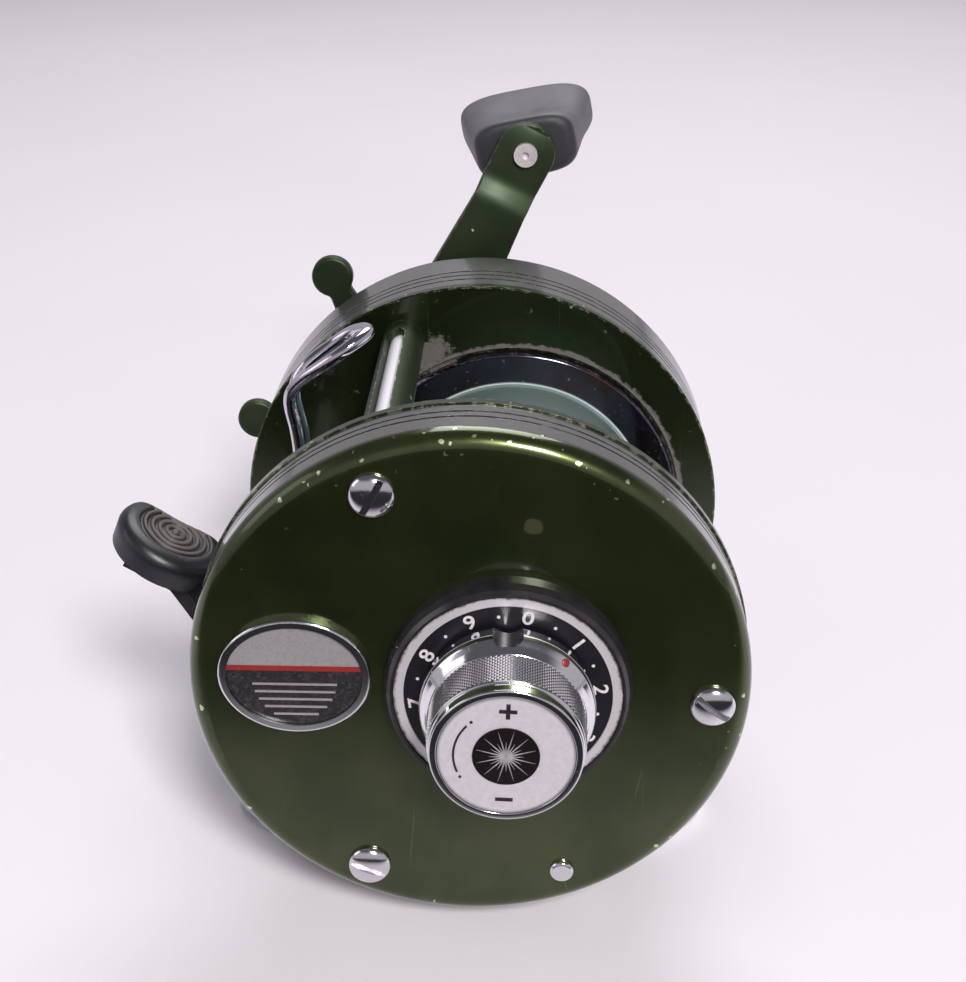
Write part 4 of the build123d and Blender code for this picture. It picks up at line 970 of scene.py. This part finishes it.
def makeCapMarks():
    values = capMarks
    faceY = capFaceY - 0.1
    bm = bmesh.new()

    def onFace(degrees, radius):
        _, up = viewTurn(degrees)
        return (spoolCentre.x + up.x * radius, spoolCentre.z + up.z * radius)

    steps = 24
    sweep = [values["arcFrom"] + (values["arcTo"] - values["arcFrom"]) * k / steps for k in range(steps + 1)]
    outer = [onFace(a, values["radius"] + values["wide"] / 2) for a in sweep]
    inner = [onFace(a, values["radius"] - values["wide"] / 2) for a in reversed(sweep)]
    flatMark(bm, outer + inner, faceY, values["thick"])
    for degrees, radius in ((values["arcFrom"] - 7, 0.15), (values["arcTo"] + 7, 0.15)):
        x, z = onFace(degrees, values["radius"])
        turns = [t * math.pi / 8 for t in range(16)]
        ring = [(x + radius * math.cos(t), z + radius * math.sin(t)) for t in turns]
        flatMark(bm, ring, faceY, values["thick"])
    for degrees, upright in ((2.0, True), (182.0, False)):
        right, up = viewTurn(degrees)
        centre = Vector((spoolCentre.x, 0, spoolCentre.z)) + up * values["radius"]
        for along, wide in ((right, up), (up, right))[: 2 if upright else 1]:
            square = ((-1, -1), (1, -1), (1, 1), (-1, 1))
            corners = [centre + along * a * 0.8 + wide * b * 0.19 for a, b in square]
            thick = values["thick"] - (0.01 if along is up else 0)  # the two bars cross, one under the other
            flatMark(bm, [(c.x, c.z) for c in corners], faceY, thick)
    piece = finishMesh("capMarks", bm, blackPrint)
    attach(piece, "cast_control")


# Red index dot sunk in the knob's skirt
indexDot = {"turnDegrees": 42.0, "out": 7.92, "forward": 5.32, "radius": 0.42, "flatten": 0.28}


def makeIndexDot():
    values = indexDot
    _, up = viewTurn(values["turnDegrees"])
    tilt = (Vector((0, 1, 0)) * 0.75 + up * 0.65).normalized()
    centre = Vector((spoolCentre.x, palmFaceY + values["forward"], spoolCentre.z)) + up * values["out"]
    bm = bmesh.new()
    bmesh.ops.create_uvsphere(bm, u_segments=24, v_segments=12, radius=values["radius"])
    aim = tilt.to_track_quat("Z", "Y").to_matrix().to_4x4()
    flatten = Matrix.Diagonal((1, 1, values["flatten"], 1))
    bmesh.ops.transform(bm, matrix=Matrix.Translation(centre) @ aim @ flatten, verts=bm.verts)
    piece = finishMesh("indexDot", bm, redPrint)
    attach(piece, "cast_control")


makeKnurl()
makeCastKnob()
makeNumerals()
makeDots()
makeBurst()
makeCapMarks()
makeIndexDot()
print("dial and cast-control knob made")


# Slotted domed screws, one prototype laid on every screw place
screwLook = {"radius": 2.2, "height": 1.13, "slotWide": 0.66, "slotDeep": 0.52}
coverScrewPlaces = (  # x, z, slot angle in degrees, on the palm side
    (middle("top_tube").x, middle("top_tube").z, 62.0), (-23.5, plateCentre.z - 1.0, -38.0),
    (10.2, plateCentre.z - 21.0, -22.0),
)
handleScrewPlaces = (
    (-4.0, plateCentre.z + 22.6, 15.0), (-18.8, plateCentre.z - 13.2, 80.0),
    (14.8, plateCentre.z - 17.6, -40.0),
)


def screwPrototype():
    values = screwLook
    radius, height = values["radius"], values["height"]
    outline = [(-0.6, 0.0), (-0.6, 1.05), (0.0, 1.1), (0.02, radius - 0.03), (0.16, radius)]
    for step in range(1, 9):
        angle = math.radians(90 * step / 8)
        outline.append((0.16 + (height - 0.16) * math.sin(angle), radius * math.cos(angle)))
    bm = bmesh.new()
    lathe(bm, outline, Vector((0, 0, 0)), 64)
    bmesh.ops.rotate(bm, verts=bm.verts, matrix=Matrix.Rotation(math.radians(90), 3, "X"))
    head = finishMesh("screwBlank", bm, screwChrome)
    cutter = bmesh.new()
    bmesh.ops.create_cube(cutter, size=1.0)
    shape = Matrix.Diagonal((6, values["slotWide"], 2 * values["slotDeep"], 1))
    bmesh.ops.transform(cutter, matrix=Matrix.Translation((0, 0, height)) @ shape, verts=cutter.verts)
    tool = finishMesh("slotTool", cutter, screwChrome)
    cut = head.modifiers.new("slot", "BOOLEAN")
    cut.object = tool
    cut.solver = "EXACT"
    bpy.context.view_layer.update()
    piece = applied(head, "screwPrototype", screwChrome)
    discard(head, tool)
    return piece


def makeScrews():
    prototype = screwPrototype()
    tree, given, result = newGeometryTree("screwLayout", [("Head", "NodeSocketObject", None)])
    source = addNode(tree, "GeometryNodeObjectInfo", {"Object": given["Head"]}).outputs["Geometry"]
    turn, side = [
        addNode(
            tree, "GeometryNodeInputNamedAttribute", {"Name": name}, data_type="FLOAT"
        ).outputs["Attribute"]
        for name in ("turn", "side")
    ]
    tip = calc(tree, "MULTIPLY", side, -math.pi / 2)
    spin = addNode(tree, "ShaderNodeCombineXYZ", {"X": tip, "Y": turn}).outputs[0]
    spots = addNode(tree, "GeometryNodeMeshToPoints", {"Mesh": given["Geometry"]}).outputs[0]
    laid = addNode(tree, "GeometryNodeInstanceOnPoints", {"Points": spots, "Instance": source}).outputs[0]
    first = addNode(tree, "GeometryNodeRotateInstances", {"Instances": laid, "Rotation": spin}).outputs[0]
    endTree(tree, first, screwChrome, result)
    places = [(x, palmFaceY, z, turn, 1.0) for x, z, turn in coverScrewPlaces]
    places += [(x, handleFaceY, z, turn, -1.0) for x, z, turn in handleScrewPlaces]
    base = bpy.data.meshes.new("screwPlaces")
    base.from_pydata([(x * mm, y * mm, z * mm) for x, y, z, _, _ in places], [], [])
    for label, column in (("turn", 3), ("side", 4)):
        values = base.attributes.new(label, "FLOAT", "POINT")
        for index, place in enumerate(places):
            values.data[index].value = math.radians(place[3]) if column == 3 else place[4]
    piece = runTree(tree, "coverScrewHeads", screwChrome, {"Head": prototype}, base)
    discard(prototype)
    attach(piece, "frame")
    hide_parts("cover_screws")


makeScrews()
print("screws laid")


# Thumb pad: a rubber button with ring grooves in its face and one flat side
thumbPad = {
    "radius": 5.7, "flat": 3.4, "thick": 4.0, "tiltDegrees": 31.0, "edge": 1.25,
    "rings": (0.55, 1.3, 2.1, 2.9, 3.7), "ringWide": 0.24, "ringDeep": 0.3, "swell": 0.22,
}


def makeThumbPad():
    values = thumbPad
    tilt = math.radians(values["tiltDegrees"])
    up = Vector((-math.sin(tilt), 0, math.cos(tilt)))
    along = Vector((math.cos(tilt), 0, math.sin(tilt)))
    side = Vector((0, 1, 0))
    boxLow, boxHigh = low("thumb_pad"), high("thumb_pad")
    centreY = boxHigh.y - values["radius"]
    boxCentre = (boxLow + boxHigh) / 2
    faceCentre = Vector((boxCentre.x, centreY, boxCentre.z)) + up * values["thick"] / 2

    def reach(angle):
        # Distance from the centre to the outline, the flat side blended in softly
        toFlat = -math.sin(angle)
        if toFlat < 0.05:
            return values["radius"]
        flat = values["flat"] / toFlat
        return (values["radius"] ** -14 + flat ** -14) ** (-1 / 14)

    def faceHeight(r):
        depth = 0.0
        for ring in values["rings"]:
            depth -= values["ringDeep"] * math.exp(-((r - ring) / values["ringWide"]) ** 4)
        return depth

    steps, inner = 128, 40
    sections = []
    edge, thick = values["edge"], values["thick"]
    for angleIndex in range(steps):
        angle = 2 * math.pi * angleIndex / steps
        limit = reach(angle)
        line = []
        for k in range(1, inner + 1):  # across the face, through the rings
            r = k / inner * (limit - edge)
            swell = values["swell"] * (1 - (r / values["radius"]) ** 2) - values["swell"]
            line.append((r, faceHeight(r) * min(1.0, (limit - edge - r) / 0.25 + 0.1) + swell))
        for k in range(1, 9):  # round the edge
            t = math.radians(90 * k / 8)
            line.append((limit - edge + edge * math.sin(t), -0.2 - edge * (1 - math.cos(t))))
        for k in range(1, 5):  # down the side, drawn in a little
            line.append((limit - 0.08 * k, -0.2 - edge - (thick - 0.2 - 2 * edge * 0.7) * k / 4))
        sections.append((angle, line))
    bm = bmesh.new()
    centreVert = bm.verts.new(faceCentre + up * faceHeight(0.0))
    grid = []
    for angle, line in sections:
        outward = along * math.cos(angle) + side * math.sin(angle)
        grid.append([bm.verts.new(faceCentre + outward * r + up * h) for r, h in line])
    bottomVert = bm.verts.new(faceCentre - up * thick)
    for here, beyond in zip(grid, grid[1:] + grid[:1]):
        bm.faces.new((centreVert, here[0], beyond[0]))
        for index in range(len(here) - 1):
            bm.faces.new((here[index], here[index + 1], beyond[index + 1], beyond[index]))
        bm.faces.new((here[-1], bottomVert, beyond[-1]))
    rubber = makeRubber(faceCentre, up)
    piece = finishMesh("thumbPadRubber", bm, rubber, 50)
    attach(piece, "thumb_lever")
    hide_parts("thumb_pad")


makeThumbPad()
print("thumb pad made")


# Handle knobs: soft paddles that widen away from the arm, hollowed above and below
gripShape = {
    "nearWide": 11.9, "farWide": 17.3, "nearHigh": 7.7, "farHigh": 7.5, "waist": 1.25, "round": 3.4,
    "endRound": 1.15, "rollDegrees": 11.0, "stations": 40, "around": 96,
}


def makeGrips():
    values = gripShape
    roll = math.radians(values["rollDegrees"])
    for node, body in (("upper_handle_knob", "upper_grip"), ("lower_handle_knob", "lower_grip")):
        boxLow, boxHigh = low(node), high(node)
        centre = (boxLow + boxHigh) / 2
        length = boxHigh.y - boxLow.y
        sections = []
        for station in range(values["stations"] + 1):
            # Stations crowd towards both ends, where the corners are rounded
            share = 0.5 - 0.5 * math.cos(math.pi * station / values["stations"])
            y = boxHigh.y - share * length
            wide = values["nearWide"] + (values["farWide"] - values["nearWide"]) * share ** 0.85
            tall = values["nearHigh"] + (values["farHigh"] - values["nearHigh"]) * share
            tall -= values["waist"] * math.exp(-((share - 0.42) / 0.27) ** 2)
            fromEnd = min(share, 1 - share) * length
            corner = values["endRound"]
            if fromEnd < corner:
                inset = corner - math.sqrt(max(0.0, corner ** 2 - (corner - fromEnd) ** 2))
                wide -= 2 * inset
                tall -= 2 * inset
            section = []
            for step in range(values["around"]):
                angle = 2 * math.pi * step / values["around"]
                c, s = math.cos(angle), math.sin(angle)
                power = 2 / values["round"]
                x = math.copysign(abs(c) ** power, c) * wide / 2
                z = math.copysign(abs(s) ** power, s) * tall / 2
                dip = 0.55 * math.exp(-(x / (wide * 0.36)) ** 2) * math.sin(math.pi * min(1.0, share * 1.15))
                z -= math.copysign(min(dip, abs(z) * 0.5), s) if abs(s) > 0.05 else 0
                section.append((
                    centre.x + x * math.cos(roll) + z * math.sin(roll), y,
                    centre.z - x * math.sin(roll) + z * math.cos(roll),
                ))
            sections.append(section)
        bm = bmesh.new()
        skin(bm, sections)
        piece = finishMesh(body.replace("_grip", "") + "GripPaddle", bm, gripPlastic, 60)
        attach(piece, body)
        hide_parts(node)


makeGrips()
print("handle knobs made")


# Handle arm: one strip, tapered to both ends, each end stepped outwards in a soft bend
armShape = {
    "thick": 2.0, "hub": 6.0, "root": 5.3, "tip": 3.35, "end": 3.5, "step": 1.2, "bendAt": 27.3,
    "bendLong": 3.2, "bevel": 0.22,
}


def makeArm():
    values = armShape
    pin = middle("upper_handle_knob")
    reach = Vector((pin.x - driveCentre.x, 0, pin.z - driveCentre.z))
    length = reach.length
    along = reach.normalized()
    across = Vector((-along.z, 0, along.x))
    outerY = high("handle_arm").y
    stations = []
    count = 132
    for k in range(count + 1):
        t = -math.cos(math.pi * k / count)
        s = t * (length + values["end"])
        distance = abs(s)
        if distance <= length:
            wide = values["root"] + (values["tip"] - values["root"]) * min(1.0, distance / values["bendAt"])
            if distance < values["hub"] * 0.99:
                wide = max(wide, math.sqrt(values["hub"] ** 2 - distance ** 2))
            if distance > values["bendAt"]:
                onwards = (values["end"] - values["tip"]) * (distance - values["bendAt"])
                wide = values["tip"] + onwards / (length - values["bendAt"])
        else:
            wide = math.sqrt(max(0.0, values["end"] ** 2 - (distance - length) ** 2))
        share = min(1.0, max(0.0, (distance - values["bendAt"]) / values["bendLong"]))
        drop = values["step"] * (share * share * (3 - 2 * share))
        stations.append((s, max(wide, 0.02), drop))
    sections = []
    for s, wide, drop in stations:
        centre = Vector((driveCentre.x, outerY - drop, driveCentre.z)) + along * s
        section = []
        bevel = min(values["bevel"], wide * 0.5)
        outerHalf = (
            (wide - bevel, 0.0), (wide - bevel * 0.3, -bevel * 0.3), (wide, -bevel),
            (wide, -values["thick"] + bevel), (wide - bevel * 0.3, -values["thick"] + bevel * 0.3),
            (wide - bevel, -values["thick"]),
        )
        for side, half in ((-1, outerHalf), (1, outerHalf[::-1])):
            for out, rise in half:
                point = centre + across * side * out
                section.append((point.x, point.y + rise, point.z))
        sections.append(section)
    bm = bmesh.new()
    skin(bm, sections)
    piece = finishMesh("handleArmStrip", bm, greenSmall, 40)
    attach(piece, "crank")
    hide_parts("handle_arm")


makeArm()
print("handle arm made")


# Badge: plain two-tone enamel oval set in the bright frame, with a thin red band
badgeLook = {
    "inset": 0.85, "sunk": 0.52, "split": 0.6, "bandHigh": 0.55, "fieldLift": 0.16, "bandLift": 0.22,
    "barLift": 0.24, "bars": 5, "barDown": 1.5, "barPitch": 0.85, "barHalf": 0.11,
}


def makeBadgeInlay():
    values = badgeLook
    boxLow, boxHigh = low("badge"), high("badge")
    centre = (boxLow + boxHigh) / 2
    wide = (boxHigh.x - boxLow.x) / 2 - values["inset"]
    tall = (boxHigh.z - boxLow.z) / 2 - values["inset"]
    faceY = boxHigh.y - values["sunk"]

    def field(name, bottom, top, material, lift):
        bm = bmesh.new()
        count = 48
        rows = []
        for k in range(count + 1):
            z = bottom + (top - bottom) * k / count
            half = wide * math.sqrt(max(0.0, 1 - (z / tall) ** 2))
            rows.append((max(half, 0.01), z))
        left = [(centre.x + half, centre.z + z) for half, z in rows]
        right = [(centre.x - half, centre.z + z) for half, z in reversed(rows)]
        flatMark(bm, left + right, faceY, lift)
        piece = finishMesh(name, bm, material)
        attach(piece, "frame")

    split = values["split"]
    field("badgeSilverField", split + values["bandHigh"], tall, silverPrint, values["fieldLift"])
    field("badgeRedBand", split, split + values["bandHigh"], redPrint, values["bandLift"])
    field("badgeBlackField", -tall, split, blackPrint, values["fieldLift"])
    bm = bmesh.new()
    for bar in range(values["bars"]):
        z = centre.z + split - values["barDown"] - values["barPitch"] * bar
        half = (wide - 1.5) * math.sqrt(max(0.0, 1 - ((z - centre.z) / (tall - 0.4)) ** 2)) * 0.82
        left, right = centre.x - half, centre.x + half
        bottom, top = z - values["barHalf"], z + values["barHalf"]
        flatMark(bm, [(left, bottom), (right, bottom), (right, top), (left, top)], faceY, values["barLift"])
    lines = finishMesh("badgeSilverBars", bm, silverPrint)
    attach(lines, "frame")


makeBadgeInlay()
print("badge made")

# Finishes of the pieces that keep their own shape
finishes = {
    palmGreen: ("left_side_cover",),
    handleGreen: ("right_side_cover",),
    greenPlate: ("left_frame_plate", "right_frame_plate"),
    greenSmall: ("star_drag", "top_tube", "rear_pillar", "bottom_bar"),
    rodPaintedReflection: ("tube_rod",),
    chrome: ("oil_plug", "handle_nut", "guide_carriage", "pawl_cap", "badge", "reel_foot"),
    wireChrome: ("line_guide", "worm_tube"),
    spoolChrome: ("spool",),
    blackTrim: ("dial_bezel",),
    dialFace: ("dial_plate",),
    spunSilver: ("knob_cap",),
    steel: (
        "anti_reverse_dog", "brake_carrier", "clutch_pin", "clutch_yoke", "drag_pressure_plate",
        "drive_shaft", "foot_rivets", "gear_plate", "gear_studs", "lever_shaft", "lever_spring", "ratchet_wheel",
        "release_crank", "release_link", "spool_bearings", "spool_shaft", "star_spring_washer", "worm_shaft",
        "yoke_springs",
    ),
    darkSteel: ("lever_arm",),
    dullNickel: ("knob_rivets",),
    brass: ("brake_ring", "drive_bushing", "guide_pawl", "main_gear", "pinion", "spool_cog", "tension_shim"),
    nylon: ("idler_gear", "worm_bushes", "worm_cog"),
    fibre: ("brake_blocks", "drag_washers"),
}
for material, nodes in finishes.items():
    for node in nodes:
        slots = frame["nodes"][node].data.materials
        slots.clear()
        slots.append(material)
print("finishes set")


# Floor, light and camera
floorLook = {"size": 6.0, "colour": (0.765, 0.73, 0.765), "shade": (0.71, 0.675, 0.72)}


def makeFloor():
    bm = bmesh.new()
    bmesh.ops.create_grid(bm, x_segments=2, y_segments=2, size=floorLook["size"] / 2)
    mesh = bpy.data.meshes.new("floor")
    bm.to_mesh(mesh)
    bm.free()
    floor = bpy.data.objects.new("floor", mesh)
    scene.collection.objects.link(floor)
    material, tree, inputs = newMaterial("paleCloth", Specular_IOR_Level=0.1, Roughness=0.95)
    place = inMillimetres(tree)
    tone = noise(tree, place, 0.008, 3.0)
    tree.links.new(mixColour(tree, tone, floorLook["colour"], floorLook["shade"]), inputs["Base Color"])
    tree.links.new(bump(tree, noise(tree, place, 3.0, 2.0), 0.05, 0.3), inputs["Normal"])
    mesh.materials.append(material)


def addLight(name, spot, aim, size, power, colour=(1, 1, 1), sizeY=None):
    data = bpy.data.lights.new(name, "AREA")
    data.shape = "RECTANGLE"
    data.size = size
    data.size_y = sizeY or size
    data.energy = power
    data.color = colour
    lamp = bpy.data.objects.new(name, data)
    scene.collection.objects.link(lamp)
    lamp.location = spot
    lamp.rotation_euler = (Vector(aim) - Vector(spot)).to_track_quat("-Z", "Y").to_euler()
    return lamp


cameraLook = {
    "spot": (-0.00535, 0.15362, 0.11673), "azimuth": 1.75, "elevation": 26.22, "lens": 59.80, "sensor": 36.0,
}


def makeCamera():
    data = bpy.data.cameras.new("camera")
    data.lens = cameraLook["lens"]
    data.sensor_fit = "HORIZONTAL"
    data.sensor_width = cameraLook["sensor"]
    data.clip_start = 0.01
    data.clip_end = 20.0
    camera = bpy.data.objects.new("camera", data)
    scene.collection.objects.link(camera)
    around, down = math.radians(cameraLook["azimuth"]), math.radians(cameraLook["elevation"])
    look = Vector((math.sin(around) * math.cos(down), -math.cos(around) * math.cos(down), -math.sin(down)))
    camera.location = cameraLook["spot"]
    camera.rotation_euler = look.to_track_quat("-Z", "Y").to_euler()
    scene.camera = camera


lightLook = {
    "target": (0.0, 0.0, 0.03),
    "key": {"spot": (-0.20, 0.62, 0.56), "size": 0.16, "power": 7.5, "colour": (1.0, 0.98, 0.97)},
    "top": {"spot": (-0.05, -0.42, 0.62), "size": 0.42, "power": 2.9, "colour": (0.97, 0.97, 1.0)},
    "side": {"spot": (0.55, 0.10, 0.30), "size": 0.30, "power": 0.3, "colour": (1.0, 0.97, 1.0)},
    "horizon": (0.46, 0.44, 0.47),
    "overhead": (0.10, 0.095, 0.11),
}


# A dark sheet low in front, seen only in reflections, so that upright faces deepen towards the top
def makeReflectionCard():
    bm = bmesh.new()
    bmesh.ops.create_grid(bm, x_segments=1, y_segments=1, size=0.5)
    bmesh.ops.translate(bm, verts=bm.verts, vec=(0.0, 0.5 + 0.030, 0.0006))
    mesh = bpy.data.meshes.new("reflectionCard")
    bm.to_mesh(mesh)
    bm.free()
    card = bpy.data.objects.new("reflectionCard", mesh)
    scene.collection.objects.link(card)
    material, tree, inputs = newMaterial("cardCloth", Roughness=1.0, Specular_IOR_Level=0.0)
    forward = addNode(tree, "ShaderNodeSeparateXYZ", {0: inMillimetres(tree)}).outputs["Y"]
    darker = fade(tree, forward, 34.0, 78.0)
    tree.links.new(mixColour(tree, darker, floorLook["shade"], (0.02, 0.02, 0.022)), inputs["Base Color"])
    mesh.materials.append(material)
    card.visible_camera = False
    card.visible_diffuse = False
    card.visible_shadow = False


def makeWorld():
    world = bpy.data.worlds.new("studio")
    world.use_nodes = True
    tree = world.node_tree
    direction = addNode(tree, "ShaderNodeTexCoord").outputs["Generated"]
    height = addNode(tree, "ShaderNodeSeparateXYZ", {0: direction}).outputs["Z"]
    raised = fade(tree, height, 0.42, 0.72)
    sky = mixColour(tree, raised, lightLook["horizon"], lightLook["overhead"])
    tree.links.new(sky, tree.nodes["Background"].inputs["Color"])
    scene.world = world


makeFloor()
makeReflectionCard()
for name in ("key", "top", "side"):
    lamp = lightLook[name]
    addLight(name + "Light", lamp["spot"], lightLook["target"], lamp["size"], lamp["power"], lamp["colour"])
makeWorld()
scene.view_settings.view_transform = "Standard"
makeCamera()
print("stage, light and camera set")
